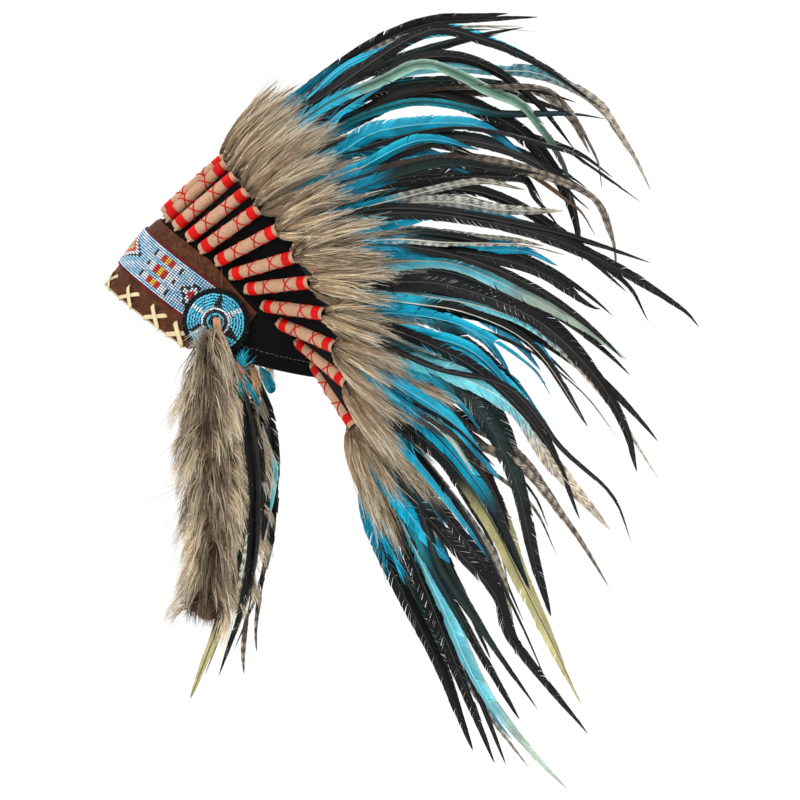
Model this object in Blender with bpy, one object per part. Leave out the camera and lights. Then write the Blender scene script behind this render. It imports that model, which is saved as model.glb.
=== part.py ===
"""Feathered headdress, worn: a felt cap, a laced brow band with beadwork and a fan of feather plumes.

Units are metres. The wearer faces -Y, the wearer's left is +X and up is +Z. The origin lies on the plane of
the brow band's lower edge, in the middle of the head opening. The crown form is tilted back about X there,
and the two side drops hang straight down from their rosettes.
"""
import math

import bmesh
import bpy
import numpy as np
from mathutils import Matrix, Vector
from mathutils.bvhtree import BVHTree

# Head opening and crown form, in the tilted frame of the crown
HEAD_HALF_LENGTH = 0.108
HEAD_HALF_WIDTH = 0.081
CROWN_HEIGHT = 0.110
CROWN_SQUARENESS = 4.0
TILT_BACK = math.radians(35)

# Cap of black felt
FELT_WALL = 0.002
CAP_FRONT_RIM = 0.002
CAP_NAPE_RIM = 0.050
CAP_RIM_START = -0.55
CAP_RIM_POWER = 1.6
CAP_COLUMNS = 40
CAP_LEVELS = 7

# Layers sewn on one another, each a small clearance away from the one below
CLEARANCE = 0.0003
FACET_ROOM = 0.0002
LEATHER_WALL = 0.002
BEAD_CLOTH_WALL = 0.002
ROSETTE_WALL = 0.0035

# Brow band of suede
BAND_LOWER_EDGE = 0.0
BAND_UPPER_EDGE = 0.073
BAND_END_ANGLE = math.radians(98)
BAND_END_LOWER = 0.046
BAND_END_UPPER = 0.060
BAND_LOWER_TAPER = math.radians(82)
BAND_UPPER_TAPER = math.radians(66)
BAND_COLUMNS = 30

# Beaded strip
STRIP_WIDTH = 0.037
STRIP_FRONT_MIDDLE = 0.0405
STRIP_SLOPE = -0.008
STRIP_COLUMNS = 28

# Rosettes over the temples
ROSETTE_RADIUS = 0.0286
ROSETTE_DISTANCE = 0.1400
ROSETTE_HEIGHT = 0.0335
ROSETTE_SIDES = 24

# Felt tubes that hold the plumes
WRAP_LENGTH = 0.074
WRAP_RADIUS = 0.0056
WRAP_END_LENGTH = 0.004
WRAP_END_SHARE = 0.6
WRAP_SIDES = 8
WRAP_SEAT_SHARE = 0.34
WRAP_SEAT_GAP = 0.0004
SEAT_PASSES = 5
SEAT_RINGS = 8

# Plumes: a puff of fur locks with feathers that stand out of it
PLUME_LENGTH = 0.390
PUFF_LENGTH = 0.068
PUFF_WIDTH = 0.024
PUFF_THICKNESS = 0.017
FEATHER_WIDTH = 0.014
FEATHER_WALL = 0.0013
FEATHER_STEPS = 4
LAYER_GAP = 0.0013
QUILL_LENGTH = 0.010
FLARE_KEPT = 0.35

# Drops at the temples
DROP_LENGTH = 0.265
DROP_WIDTH = 0.055
DROP_THICKNESS = 0.016
DROP_START = 0.021
THONG_WIDTH = 0.006
THONG_THICKNESS = 0.003
THONG_DROP = 0.030
DROP_FEATHER_LENGTH = 0.335

# One row for each wrap and plume of a side, from the brow to the nape.
# around: degrees from the brow's middle; height: share of the crown's height; rise: degrees above the rim
# plane, towards the back; flare: degrees outward; droop: degrees that the feathers fall along their length;
# reach: share of the plume length
FAN_COLUMNS = ("around", "height", "rise", "flare", "droop", "reach")
FAN_ROWS = (
    (7, 0.71, 77, 3, 40, 0.81),
    (20, 0.70, 77, 10, 71, 0.95),
    (33, 0.70, 75, 16, 83, 1.02),
    (46, 0.70, 73, 22, 84, 0.99),
    (57, 0.69, 70, 28, 92, 1.05),
    (68, 0.69, 63, 32, 76, 1.11),
    (78, 0.67, 52, 35, 75, 0.93),
    (88, 0.65, 43, 38, 62, 1.00),
    (99, 0.62, 30, 41, 53, 0.98),
    (110, 0.58, 15, 43, 33, 0.97),
    (123, 0.54, -2, 40, 22, 0.93),
    (138, 0.46, -20, 29, 3, 0.94),
    (157, 0.47, -29, 13, 3, 0.88),
)

# Limbs of one plume, in their order across it: length as a share of the plume's, turn in degrees that spreads
# them, width as a share of the feather's, and the layer each lies in
LIMB_COLUMNS = ("length", "turn", "width", "layer")
LIMB_ROWS = (
    (0.27, 10.0, 0.65, 1),
    (0.80, 6.0, 1.05, -1),
    (1.00, 1.0, 1.00, 0),
    (0.90, -4.0, 1.05, 1),
    (0.64, -9.0, 1.00, -1),
    (0.30, -13.0, 0.65, 0),
)
# A limb shorter than this share is a lock of fur, which takes two steps
SHORT_LIMB = 0.4
LOCK_STEPS = 2
# Width of a blade at each step from its quill
BLADE_SHARES = (0.75, 1.0, 1.0, 0.85, 0.5)
DROP_BLADE_SHARES = (0.4, 1.0, 1.0, 0.7, 0)
# A limb has its full turn at this share of the plume; its quill fills a share of its place in the puff's end
SPREAD_SHARE = 0.3
QUILL_SHARE = 0.7
QUILL_SPREAD = 0.9
# Thickness at a puff's two edges, as a share of the thickness in its middle
PUFF_EDGE = 0.45

# Puff of fur along its length: place, width and thickness as shares of the puff's
PUFF_COLUMNS = ("place", "width", "thickness")
PUFF_ROWS = (
    (0.00, 0.36, 0.50),
    (0.12, 0.80, 0.90),
    (0.55, 1.00, 1.00),
    (1.00, 0.95, 0.60),
)

# Fur strip of a drop: place down the strip, width and thickness as shares, and drift to the back as a share
# of the width
DROP_COLUMNS = ("down", "width", "thickness", "drift")
DROP_ROWS = (
    (0.00, 0.30, 0.45, -0.07),
    (0.10, 0.62, 0.80, -0.12),
    (0.25, 0.92, 1.00, -0.10),
    (0.45, 1.00, 1.00, -0.07),
    (0.65, 0.90, 0.95, -0.10),
    (0.85, 0.95, 0.90, -0.22),
    (1.00, 1.10, 0.55, -0.32),
)

# Feathers of a drop: where each starts, bows out to and ends, as shares of the drop feather length below the
# rosette and of the strip's width towards the back
DROP_FEATHER_COLUMNS = ("start_down", "start_back", "bow_down", "bow_back", "end_down", "end_back", "width")
DROP_FEATHER_ROWS = (
    (0.13, 0.18, 0.51, 1.12, 0.94, -0.07, 1.25),
    (0.15, 0.24, 0.47, 0.80, 0.73, 0.23, 1.00),
    (0.51, -0.22, 0.81, -0.12, 1.01, -0.62, 0.90),
)

FELT_BLACK = (0.012, 0.012, 0.013, 1)
SUEDE_BROWN = (0.085, 0.032, 0.018, 1)
BEAD_BLUE = (0.45, 0.68, 0.85, 1)
ROSETTE_BLUE = (0.05, 0.48, 0.66, 1)
WRAP_TAN = (0.62, 0.38, 0.24, 1)
PLUME_BLUE = (0.02, 0.35, 0.55, 1)
FUR_BEIGE = (0.40, 0.31, 0.21, 1)


def clear_scene():
    for obj in list(bpy.data.objects):
        bpy.data.objects.remove(obj, do_unlink=True)


def make_material(name, colour, roughness):
    material = bpy.data.materials.new(name)
    material.use_nodes = True
    shader = material.node_tree.nodes["Principled BSDF"]
    shader.inputs["Base Color"].default_value = colour
    shader.inputs["Roughness"].default_value = roughness
    shader.inputs["Metallic"].default_value = 0.0
    material.diffuse_color = colour
    return material


def add_object(name, mesh, material, parent):
    obj = bpy.data.objects.new(name, mesh)
    bpy.context.scene.collection.objects.link(obj)
    mesh.materials.append(material)
    obj.parent = parent
    return obj


def add_empty(name, location, turn=0.0):
    empty = bpy.data.objects.new(name, None)
    bpy.context.scene.collection.objects.link(empty)
    empty.location = location
    empty.rotation_euler = (turn, 0, 0)
    return empty


def mesh_from(name, points, faces, smooth_angle=None):
    mesh = bpy.data.meshes.new(name)
    mesh.from_pydata([tuple(point) for point in points], [], faces)
    form = bmesh.new()
    form.from_mesh(mesh)
    bmesh.ops.recalc_face_normals(form, faces=form.faces[:])
    form.to_mesh(mesh)
    form.free()
    if smooth_angle is not None:
        mesh.shade_smooth()
        mesh.set_sharp_from_angle(angle=smooth_angle)
    return mesh


def named(columns, row):
    return dict(zip(columns, row))


# Crown form

def crown_share(height):
    """How far the crown has closed in at a height, 1 at the brow and 0 at the top."""
    level = min(max(height, 0.0) / CROWN_HEIGHT, 1.0)
    return (1 - level ** CROWN_SQUARENESS) ** (1 / CROWN_SQUARENESS)


def crown_normal(point):
    ring = math.hypot(point.x / HEAD_HALF_WIDTH, point.y / HEAD_HALF_LENGTH)
    ring_power = ring ** (CROWN_SQUARENESS - 2)
    top_power = (max(point.z, 0.0) / CROWN_HEIGHT) ** (CROWN_SQUARENESS - 1)
    return Vector((
        ring_power * point.x / HEAD_HALF_WIDTH ** 2,
        ring_power * point.y / HEAD_HALF_LENGTH ** 2,
        top_power / CROWN_HEIGHT,
    )).normalized()


def crown_point(angle, height, proud):
    """A point on the crown, at an angle from the brow's middle, that stands proud of the cap's outer face."""
    share = crown_share(height)
    point = Vector((
        HEAD_HALF_WIDTH * share * math.sin(angle),
        -HEAD_HALF_LENGTH * share * math.cos(angle),
        height,
    ))
    return point + crown_normal(point) * proud


def brow_angle(distance):
    """The angle at which a tape laid round the brow from its middle reads this distance."""
    angles = np.linspace(0, math.pi, 361)
    along_x = HEAD_HALF_WIDTH * np.sin(angles)
    along_y = -HEAD_HALF_LENGTH * np.cos(angles)
    steps = np.hypot(np.diff(along_x), np.diff(along_y))
    tape = np.concatenate(([0.0], np.cumsum(steps)))
    angle = float(np.interp(abs(distance), tape, angles))
    return math.copysign(angle, distance)


def sheet_wall(name, columns, levels, place, inner, outer, smooth_angle):
    """A closed wall over a grid of columns and levels; place(column, level, proud) gives each point."""
    rows = range(levels + 1)
    stations = range(columns + 1)
    points = [place(i / columns, j / levels, proud) for proud in (inner, outer) for i in stations for j in rows]
    layer = (columns + 1) * (levels + 1)

    def index(i, j, side):
        return side * layer + i * (levels + 1) + j

    faces = []
    for i in range(columns):
        for j in range(levels):
            for side in (0, 1):
                faces.append((index(i, j, side), index(i + 1, j, side), index(i + 1, j + 1, side), index(i, j + 1, side)))
    for i in range(columns):
        for j in (0, levels):
            faces.append((index(i, j, 0), index(i + 1, j, 0), index(i + 1, j, 1), index(i, j, 1)))
    for j in range(levels):
        for i in (0, columns):
            faces.append((index(i, j, 0), index(i, j + 1, 0), index(i, j + 1, 1), index(i, j, 1)))
    return mesh_from(name, points, faces, smooth_angle)


def cap_rim_height(angle):
    """The cap's rim climbs from the temples to the nape."""
    behind = -math.cos(angle)
    climb = max(behind - CAP_RIM_START, 0.0) / (1 - CAP_RIM_START)
    return CAP_FRONT_RIM + (CAP_NAPE_RIM - CAP_FRONT_RIM) * climb ** CAP_RIM_POWER


def cap_form():
    """Dome of felt, open below, as an outer and an inner skin joined at the rim."""
    points = []
    for proud in (0.0, -FELT_WALL):
        for i in range(CAP_COLUMNS):
            angle = 2 * math.pi * i / CAP_COLUMNS
            rim = cap_rim_height(angle) / CROWN_HEIGHT
            start = math.asin(rim ** (CROWN_SQUARENESS / 2))
            for j in range(CAP_LEVELS):
                turn = start + (math.pi / 2 - start) * j / CAP_LEVELS
                height = CROWN_HEIGHT * math.sin(turn) ** (2 / CROWN_SQUARENESS)
                points.append(crown_point(angle, height, proud))
        points.append(Vector((0, 0, CROWN_HEIGHT + proud)))
    layer = CAP_COLUMNS * CAP_LEVELS + 1
    faces = []
    for i in range(CAP_COLUMNS):
        here = i * CAP_LEVELS
        there = (i + 1) % CAP_COLUMNS * CAP_LEVELS
        for base in (0, layer):
            for j in range(CAP_LEVELS - 1):
                faces.append((base + here + j, base + there + j, base + there + j + 1, base + here + j + 1))
            top = CAP_LEVELS - 1
            faces.append((base + here + top, base + there + top, base + layer - 1))
        faces.append((here, there, layer + there, layer + here))
    return points, faces


BAND_INNER = CLEARANCE + FACET_ROOM
BAND_OUTER = BAND_INNER + LEATHER_WALL
STRIP_INNER = BAND_OUTER + CLEARANCE
STRIP_OUTER = STRIP_INNER + BEAD_CLOTH_WALL
ROSETTE_INNER = STRIP_OUTER + CLEARANCE + FACET_ROOM
ROSETTE_OUTER = ROSETTE_INNER + ROSETTE_WALL


def band_place(across, up, proud):
    """Brow band: its lower edge sweeps up behind the temples into a blunt wedge."""
    angle = (2 * across - 1) * BAND_END_ANGLE
    past_lower = max(abs(angle) - BAND_LOWER_TAPER, 0.0) / (BAND_END_ANGLE - BAND_LOWER_TAPER)
    past_upper = max(abs(angle) - BAND_UPPER_TAPER, 0.0) / (BAND_END_ANGLE - BAND_UPPER_TAPER)
    lower = BAND_LOWER_EDGE + (BAND_END_LOWER - BAND_LOWER_EDGE) * past_lower
    upper = BAND_UPPER_EDGE + (BAND_END_UPPER - BAND_UPPER_EDGE) * past_upper
    height = lower + (upper - lower) * up
    return crown_point(angle, height, proud)


def strip_place(across, up, proud):
    """Beaded strip, from the middle of one rosette to the other."""
    distance = (2 * across - 1) * ROSETTE_DISTANCE
    middle = STRIP_FRONT_MIDDLE + STRIP_SLOPE * abs(distance)
    height = middle + STRIP_WIDTH * (up - 0.5)
    return crown_point(brow_angle(distance), height, proud)


def rosette_mesh(side):
    """Disc that follows the crown: rings of points out from its middle, on an inner and an outer face."""
    points = []
    shares = (0.5, 0.95, 1.0)
    for proud, last in ((ROSETTE_INNER, 1.0), (ROSETTE_OUTER, 0.97)):
        points.append(crown_point(brow_angle(side * ROSETTE_DISTANCE), ROSETTE_HEIGHT, proud))
        for share in shares:
            for i in range(ROSETTE_SIDES):
                turn = 2 * math.pi * i / ROSETTE_SIDES
                reach = ROSETTE_RADIUS * share * (last if share == 1.0 else 1.0)
                distance = ROSETTE_DISTANCE + reach * math.cos(turn)
                height = ROSETTE_HEIGHT + reach * math.sin(turn)
                points.append(crown_point(brow_angle(side * distance), height, proud))
    layer = 1 + len(shares) * ROSETTE_SIDES
    faces = []
    for i in range(ROSETTE_SIDES):
        k = (i + 1) % ROSETTE_SIDES
        for base in (0, layer):
            faces.append((base, base + 1 + i, base + 1 + k))
            for ring in range(len(shares) - 1):
                inner = base + 1 + ring * ROSETTE_SIDES
                outer = inner + ROSETTE_SIDES
                faces.append((inner + i, outer + i, outer + k, inner + k))
        edge = 1 + (len(shares) - 1) * ROSETTE_SIDES
        faces.append((edge + i, edge + k, layer + edge + k, layer + edge + i))
    return mesh_from("rosette", points, faces, math.radians(40))


# Lofted forms along a line

def loft(sections):
    """Points and faces of a closed form through rings of equal length; a ring of one point is a tip."""
    points = []
    faces = []
    starts = []
    for ring in sections:
        starts.append(len(points))
        points.extend(ring)
    for k in range(len(sections) - 1):
        low, high = starts[k], starts[k + 1]
        count_low, count_high = len(sections[k]), len(sections[k + 1])
        sides = max(count_low, count_high)
        for i in range(sides):
            j = (i + 1) % sides
            if count_high == 1:
                faces.append((low + i, low + j, high))
            elif count_low == 1:
                faces.append((low, high + j, high + i))
            else:
                faces.append((low + i, low + j, high + j, high + i))
    if len(sections[0]) > 1:
        faces.append(tuple(reversed(range(len(sections[0])))))
    if len(sections[-1]) > 1:
        faces.append(tuple(range(starts[-1], len(points))))
    return points, faces


def fuse(name, body, limbs, material, parent):
    """One solid from a body and the limbs that stand out of it, which a Boolean union joins."""
    obj = add_object(name, mesh_from(name, *body), material, parent)
    for number, limb in enumerate(limbs):
        tool_name = f"{name}_limb_{number}"
        tool = add_object(tool_name, mesh_from(tool_name, *limb), material, parent)
        tool.hide_render = True
        tool.display_type = "WIRE"
        union = obj.modifiers.new(tool_name, "BOOLEAN")
        union.operation = "UNION"
        union.solver = "EXACT"
        union.object = tool
    return obj


def fan_direction(rise, flare):
    """Unit direction in the crown's frame: rise above the rim plane towards the back, flare to the left."""
    return Vector((
        math.sin(flare),
        math.cos(flare) * math.cos(rise),
        math.cos(flare) * math.sin(rise),
    ))


def ring_points(middle, direction, radius, sides):
    side = direction.cross(Vector((1, 0, 0))).normalized()
    other = direction.cross(side).normalized()
    turns = [2 * math.pi * i / sides for i in range(sides)]
    return [middle + (side * math.cos(turn) + other * math.sin(turn)) * radius for turn in turns]


WRAP_STATIONS = (
    (0.0, WRAP_END_SHARE),
    (WRAP_END_LENGTH, 1.0),
    (WRAP_LENGTH - WRAP_END_LENGTH, 1.0),
    (WRAP_LENGTH, WRAP_END_SHARE),
)


def wrap_form(row):
    return loft([
        ring_points(row["base"] + row["direction"] * place, row["direction"], WRAP_RADIUS * share, WRAP_SIDES)
        for place, share in WRAP_STATIONS
    ])


def wrap_clearance(row, crown):
    """How far the lower part of a tube stands clear of the felt, less than nothing where it digs in."""
    places = np.linspace(WRAP_END_LENGTH, WRAP_LENGTH * WRAP_SEAT_SHARE, SEAT_RINGS)
    rings = [(0.0, WRAP_END_SHARE * WRAP_RADIUS)] + [(float(place), WRAP_RADIUS) for place in places]
    gaps = []
    for place, radius in rings:
        middle = row["base"] + row["direction"] * place
        for point in ring_points(middle, row["direction"], radius, 2 * WRAP_SIDES):
            nearest, _, _, distance = crown.find_nearest(point)
            inside = (point - nearest).dot(crown_normal(point)) < 0
            gaps.append(-distance if inside else distance)
    return min(gaps)


def seated_rows(crown):
    """The rows of the fan as names and values, each tube pushed in until it rests on the crown."""
    rows = []
    for values in FAN_ROWS:
        row = named(FAN_COLUMNS, values)
        angle = math.radians(row["around"])
        height = row["height"] * CROWN_HEIGHT
        outward = crown_normal(crown_point(angle, height, 0.0))
        row["direction"] = fan_direction(math.radians(row["rise"]), math.radians(row["flare"]))
        row["base"] = crown_point(angle, height, WRAP_RADIUS)
        for _ in range(SEAT_PASSES):
            row["base"] -= outward * (wrap_clearance(row, crown) - WRAP_SEAT_GAP)
        rows.append(row)
    return rows


def fan_line(row, turn, stations):
    """Points and directions at these distances from the tube's end, falling under the feathers' weight."""
    point = row["base"] + row["direction"] * (WRAP_LENGTH + CLEARANCE)
    line = []
    before = 0.0
    for distance in stations:
        middle = (before + distance) / 2 / PLUME_LENGTH
        point = point + fan_heading(row, turn, middle) * (distance - before)
        line.append((point, fan_heading(row, turn, distance / PLUME_LENGTH)))
        before = distance
    return line


def fan_heading(row, turn, share):
    """Direction of growth at a share of the plume length; a limb's turn comes in over its first stretch."""
    turned = turn * min(share / SPREAD_SHARE, 1.0)
    rise = math.radians(row["rise"] + turned - row["droop"] * share)
    flare = math.radians(row["flare"]) * (1 - (1 - FLARE_KEPT) * min(share, 1.0))
    return fan_direction(rise, flare)


def frame_across(direction):
    """The directions across a blade and through it, for its direction of growth."""
    across = Vector((1, 0, 0)).cross(direction).normalized()
    return across, across.cross(direction).normalized()


def puff_ring(part, point, direction):
    """Ring of a puff: two rows of points across it, with a point at each edge between two limbs."""
    across, through = frame_across(direction)
    half_width = PUFF_WIDTH * part["width"] / 2
    half_thickness = PUFF_THICKNESS * part["thickness"] / 2
    cells = len(LIMB_ROWS)
    front = []
    back = []
    for i in range(cells + 1):
        place = 2 * i / cells - 1
        swell = PUFF_EDGE + (1 - PUFF_EDGE) * math.sqrt(1 - place ** 2)
        middle = point - across * (place * half_width)
        front.append(middle + through * (half_thickness * swell))
        back.append(middle - through * (half_thickness * swell))
    return front + back[::-1]


def limb_sections(row, limb):
    """A feather or lock from its quill, which is narrow where it leaves the fur, to its tip."""
    length = PLUME_LENGTH * row["reach"] * limb["length"]
    steps = FEATHER_STEPS if limb["length"] > SHORT_LIMB else LOCK_STEPS
    start = PUFF_LENGTH + QUILL_LENGTH
    stations = [start + (length - start) * k / steps for k in range(steps + 1)]
    line = fan_line(row, limb["turn"], [PUFF_LENGTH / 2, PUFF_LENGTH] + stations)[2:]
    cell = PUFF_WIDTH / len(LIMB_ROWS)
    full = FEATHER_WIDTH * limb["width"]
    sections = []
    for k, (point, direction) in enumerate(line):
        across, through = frame_across(direction)
        point = point + through * (limb["layer"] * (FEATHER_WALL / 2 + LAYER_GAP))
        width = full * BLADE_SHARES[min(k * len(BLADE_SHARES) // steps, len(BLADE_SHARES) - 1)]
        if k == 0:
            width = cell * QUILL_SHARE
            point = point - across * (limb["cell"] * cell * QUILL_SPREAD)
        half = across * (width / 2)
        wall = through * (FEATHER_WALL / 2)
        sections.append([point] if k == steps else [point + half, point + wall, point - half, point - wall])
    return sections


def plume_form(row):
    """One body: a puff of fur whose far end splits into the quills of its feathers and its loose locks."""
    cells = len(LIMB_ROWS)
    places = [part[0] * PUFF_LENGTH for part in PUFF_ROWS]
    line = fan_line(row, 0.0, places)
    sections = [
        puff_ring(named(PUFF_COLUMNS, part), point, direction)
        for part, (point, direction) in zip(PUFF_ROWS, line)
    ]
    points = [point for ring in sections for point in ring]
    around = 2 * (cells + 1)
    faces = [tuple(reversed(range(around)))]
    for k in range(len(sections) - 1):
        for i in range(around):
            j = (i + 1) % around
            faces.append((k * around + i, k * around + j, (k + 1) * around + j, (k + 1) * around + i))
    last = (len(sections) - 1) * around
    for number, values in enumerate(LIMB_ROWS):
        limb = named(LIMB_COLUMNS, values)
        limb["cell"] = number - (cells - 1) / 2
        front, front_next = last + number, last + number + 1
        back, back_next = last + around - 1 - number, last + around - 2 - number
        root = [front, front_next, back_next, back]
        for section in limb_sections(row, limb):
            base = len(points)
            points.extend(section)
            if len(section) == 1:
                faces.extend((root[i], root[(i + 1) % 4], base) for i in range(4))
            else:
                ring = [base + 1, base + 2, base + 3, base]
                faces.extend((root[i], root[(i + 1) % 4], ring[(i + 1) % 4], ring[i]) for i in range(4))
                root = ring
    return points, faces


def blade(line, width, wall, shares):
    """A strip with its flat face to the side, as wide at each step as the shares say, to a tip."""
    sections = []
    for (point, direction), share in zip(line, shares):
        across, through = frame_across(direction)
        half = across * (width * share / 2)
        face = through * (wall / 2)
        sections.append([point] if share == 0 else [point + half, point + face, point - half, point - face])
    return loft(sections)


def mirrored(form):
    points, faces = form
    return [Vector((-point.x, point.y, point.z)) for point in points], faces


def add_fan(rows, side, first, parent, materials):
    """The wraps and plumes of one side, numbered from the brow to the nape."""
    for number, row in enumerate(rows):
        label = f"{first + number:02d}"
        wrap = wrap_form(row)
        plume = plume_form(row)
        if side < 0:
            wrap = mirrored(wrap)
            plume = mirrored(plume)
        add_object(f"wrap_{label}", mesh_from("wrap", *wrap, math.radians(40)), materials["wrap"], parent)
        add_object(f"plume_{label}", mesh_from("plume", *plume, math.radians(40)), materials["plume"], parent)


# Drops, in a frame at the rosette's middle whose axes are the world's

def drop_forms(side):
    """The thong, the fur strip and the feathers of a drop, as the body and limbs of one bunch."""
    away = DROP_THICKNESS / 2 + CLEARANCE + THONG_THICKNESS
    sections = []
    for values in DROP_ROWS:
        row = named(DROP_COLUMNS, values)
        middle = Vector((away * side, row["drift"] * DROP_WIDTH, -DROP_START - row["down"] * DROP_LENGTH))
        half_width = DROP_WIDTH * row["width"] / 2
        half_thickness = DROP_THICKNESS * row["thickness"] / 2
        ring = []
        for i in range(8):
            turn = 2 * math.pi * i / 8
            ring.append(middle + Vector((half_thickness * math.cos(turn), half_width * math.sin(turn), 0)))
        sections.append(ring)
    body = loft(sections)
    half = THONG_WIDTH / 2
    thong_sections = []
    for place in (0.0, 0.5, 1.0):
        out = side * (CLEARANCE + (away - CLEARANCE) * place ** 0.5)
        down = -THONG_DROP * place
        thong_sections.append([
            Vector((out, -half, down + half * (1 - place))),
            Vector((out, half, down + half * (1 - place))),
            Vector((out + side * THONG_THICKNESS, half, down)),
            Vector((out + side * THONG_THICKNESS, -half, down)),
        ])
    limbs = [loft(thong_sections)]
    for values in DROP_FEATHER_ROWS:
        row = named(DROP_FEATHER_COLUMNS, values)
        line = []
        for k in range(FEATHER_STEPS + 1):
            share = k / FEATHER_STEPS
            weights = ((1 - share) ** 2, 2 * share * (1 - share), share ** 2)
            down = sum(w * row[key] for w, key in zip(weights, ("start_down", "bow_down", "end_down")))
            back = sum(w * row[key] for w, key in zip(weights, ("start_back", "bow_back", "end_back")))
            point = Vector((away * side, back * DROP_WIDTH, -down * DROP_FEATHER_LENGTH))
            line.append((point, Vector((0, 0, -1))))
        limbs.append(blade(line, FEATHER_WIDTH * row["width"], FEATHER_WALL * 2, DROP_BLADE_SHARES))
    return body, limbs


def main():
    clear_scene()
    felt = make_material("felt_black", FELT_BLACK, 0.95)
    suede = make_material("suede_brown", SUEDE_BROWN, 0.85)
    beads = make_material("bead_blue", BEAD_BLUE, 0.25)
    rosette_beads = make_material("rosette_blue", ROSETTE_BLUE, 0.25)
    fur = make_material("fur_beige", FUR_BEIGE, 0.8)
    fan_materials = {
        "wrap": make_material("wrap_tan", WRAP_TAN, 0.9),
        "plume": make_material("plume_blue", PLUME_BLUE, 0.5),
    }

    crown = add_empty("crown_tilt", (0, 0, 0), -TILT_BACK)
    cap = cap_form()
    add_object("cap", mesh_from("cap", *cap, math.radians(40)), felt, crown)
    rows = seated_rows(BVHTree.FromPolygons(*cap))
    smooth = math.radians(30)
    band = sheet_wall("brow_band", BAND_COLUMNS, 4, band_place, BAND_INNER, BAND_OUTER, smooth)
    add_object("brow_band", band, suede, crown)
    strip = sheet_wall("bead_strip", STRIP_COLUMNS, 2, strip_place, STRIP_INNER, STRIP_OUTER, smooth)
    add_object("bead_strip", strip, beads, crown)
    tilt = Matrix.Rotation(-TILT_BACK, 4, "X")
    for side, word in ((1, "left"), (-1, "right")):
        add_object(f"rosette_{word}", rosette_mesh(side), rosette_beads, crown)
        face = crown_point(brow_angle(side * ROSETTE_DISTANCE), ROSETTE_HEIGHT, ROSETTE_OUTER)
        hang = add_empty(f"hang_{word}", tilt @ face)
        fuse(f"drop_{word}", *drop_forms(side), fur, hang)
    add_fan(rows, 1, 1, crown, fan_materials)
    add_fan(rows, -1, 1 + len(rows), crown, fan_materials)


main()
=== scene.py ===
"""Looks of the feathered headdress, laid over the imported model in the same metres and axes."""

import math

import bpy
import numpy as np
from mathutils import Matrix, Vector


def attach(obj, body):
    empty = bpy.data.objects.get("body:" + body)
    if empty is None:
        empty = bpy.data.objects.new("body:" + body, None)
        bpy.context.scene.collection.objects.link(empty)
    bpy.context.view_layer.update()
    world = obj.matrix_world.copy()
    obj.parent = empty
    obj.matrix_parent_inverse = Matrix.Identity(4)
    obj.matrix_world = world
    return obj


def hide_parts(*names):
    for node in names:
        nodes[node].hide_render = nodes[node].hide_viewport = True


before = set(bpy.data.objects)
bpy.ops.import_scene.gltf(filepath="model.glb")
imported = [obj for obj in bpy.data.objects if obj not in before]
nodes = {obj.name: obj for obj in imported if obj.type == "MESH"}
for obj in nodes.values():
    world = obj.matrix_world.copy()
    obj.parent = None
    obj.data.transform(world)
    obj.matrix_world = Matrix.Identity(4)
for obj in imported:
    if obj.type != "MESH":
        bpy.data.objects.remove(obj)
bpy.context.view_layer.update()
scene = bpy.context.scene
scene.view_settings.view_transform = "Standard"

# View of the photograph: its size in pixels, and a pixel in metres at the object

PHOTO_SIZE = 800
PHOTO_MIDDLE = PHOTO_SIZE / 2
PIXEL = 0.00088
AZIMUTH = math.radians(92)
ELEVATION = math.radians(3.5)
DISTANCE = 5.0
AIM = np.array([0.0, 0.168, -0.0396])
FORWARD = np.array([
    -math.sin(AZIMUTH) * math.cos(ELEVATION),
    math.cos(AZIMUTH) * math.cos(ELEVATION),
    -math.sin(ELEVATION),
])
RIGHT = np.array([math.cos(AZIMUTH), math.sin(AZIMUTH), 0.0])
UP = np.cross(RIGHT, FORWARD)
EYE = AIM - FORWARD * DISTANCE


def unproject(u, v, x):
    """The points seen at pixels u, v that have these X."""
    u, v, x = np.broadcast_arrays(np.asarray(u, float), v, x)
    ray = FORWARD * DISTANCE + RIGHT * ((u - PHOTO_MIDDLE) * PIXEL)[..., None]
    ray = ray + UP * ((PHOTO_MIDDLE - v) * PIXEL)[..., None]
    return EYE + ray * ((x - EYE[0]) / ray[..., 0])[..., None]


def project(points):
    """Pixels at which points are seen."""
    away = points - EYE
    scale = DISTANCE / PIXEL / away.dot(FORWARD)
    return np.stack([PHOTO_MIDDLE + away.dot(RIGHT) * scale, PHOTO_MIDDLE - away.dot(UP) * scale], axis=-1)


# Crown form, as in the part's source

HEAD_HALF_LENGTH = 0.108
HEAD_HALF_WIDTH = 0.081
CROWN_HEIGHT = 0.110
CROWN_SQUARENESS = 4.0
TILT = np.array(Matrix.Rotation(math.radians(-35), 3, "X"))
BAND_INNER = 0.0005
BAND_OUTER = 0.0025
ROSETTE_OUTER = 0.0088
ROSETTE_RADIUS = 0.0286
ROSETTE_DISTANCE = 0.1400
ROSETTE_HEIGHT = 0.0335
STRIP_WIDTH = 0.037
STRIP_FRONT_MIDDLE = 0.0405
STRIP_SLOPE = -0.008
WRAP_LENGTH = 0.074
WRAP_RADIUS = 0.0056
PLUME_LENGTH = 0.390


def steps_along(points):
    """Distance from the start of a line at each of its points."""
    return np.concatenate([[0], np.cumsum(np.linalg.norm(np.diff(points, axis=0), axis=1))])


brow_turns = np.linspace(0, math.pi, 721)
brow_tape = steps_along(np.stack([
    HEAD_HALF_WIDTH * np.sin(brow_turns), HEAD_HALF_LENGTH * np.cos(brow_turns),
], axis=1))


def brow_angle(distance):
    """Angles at which a tape laid round the brow from its middle reads these distances."""
    return np.sign(distance) * np.interp(np.abs(distance), brow_tape, brow_turns)


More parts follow.
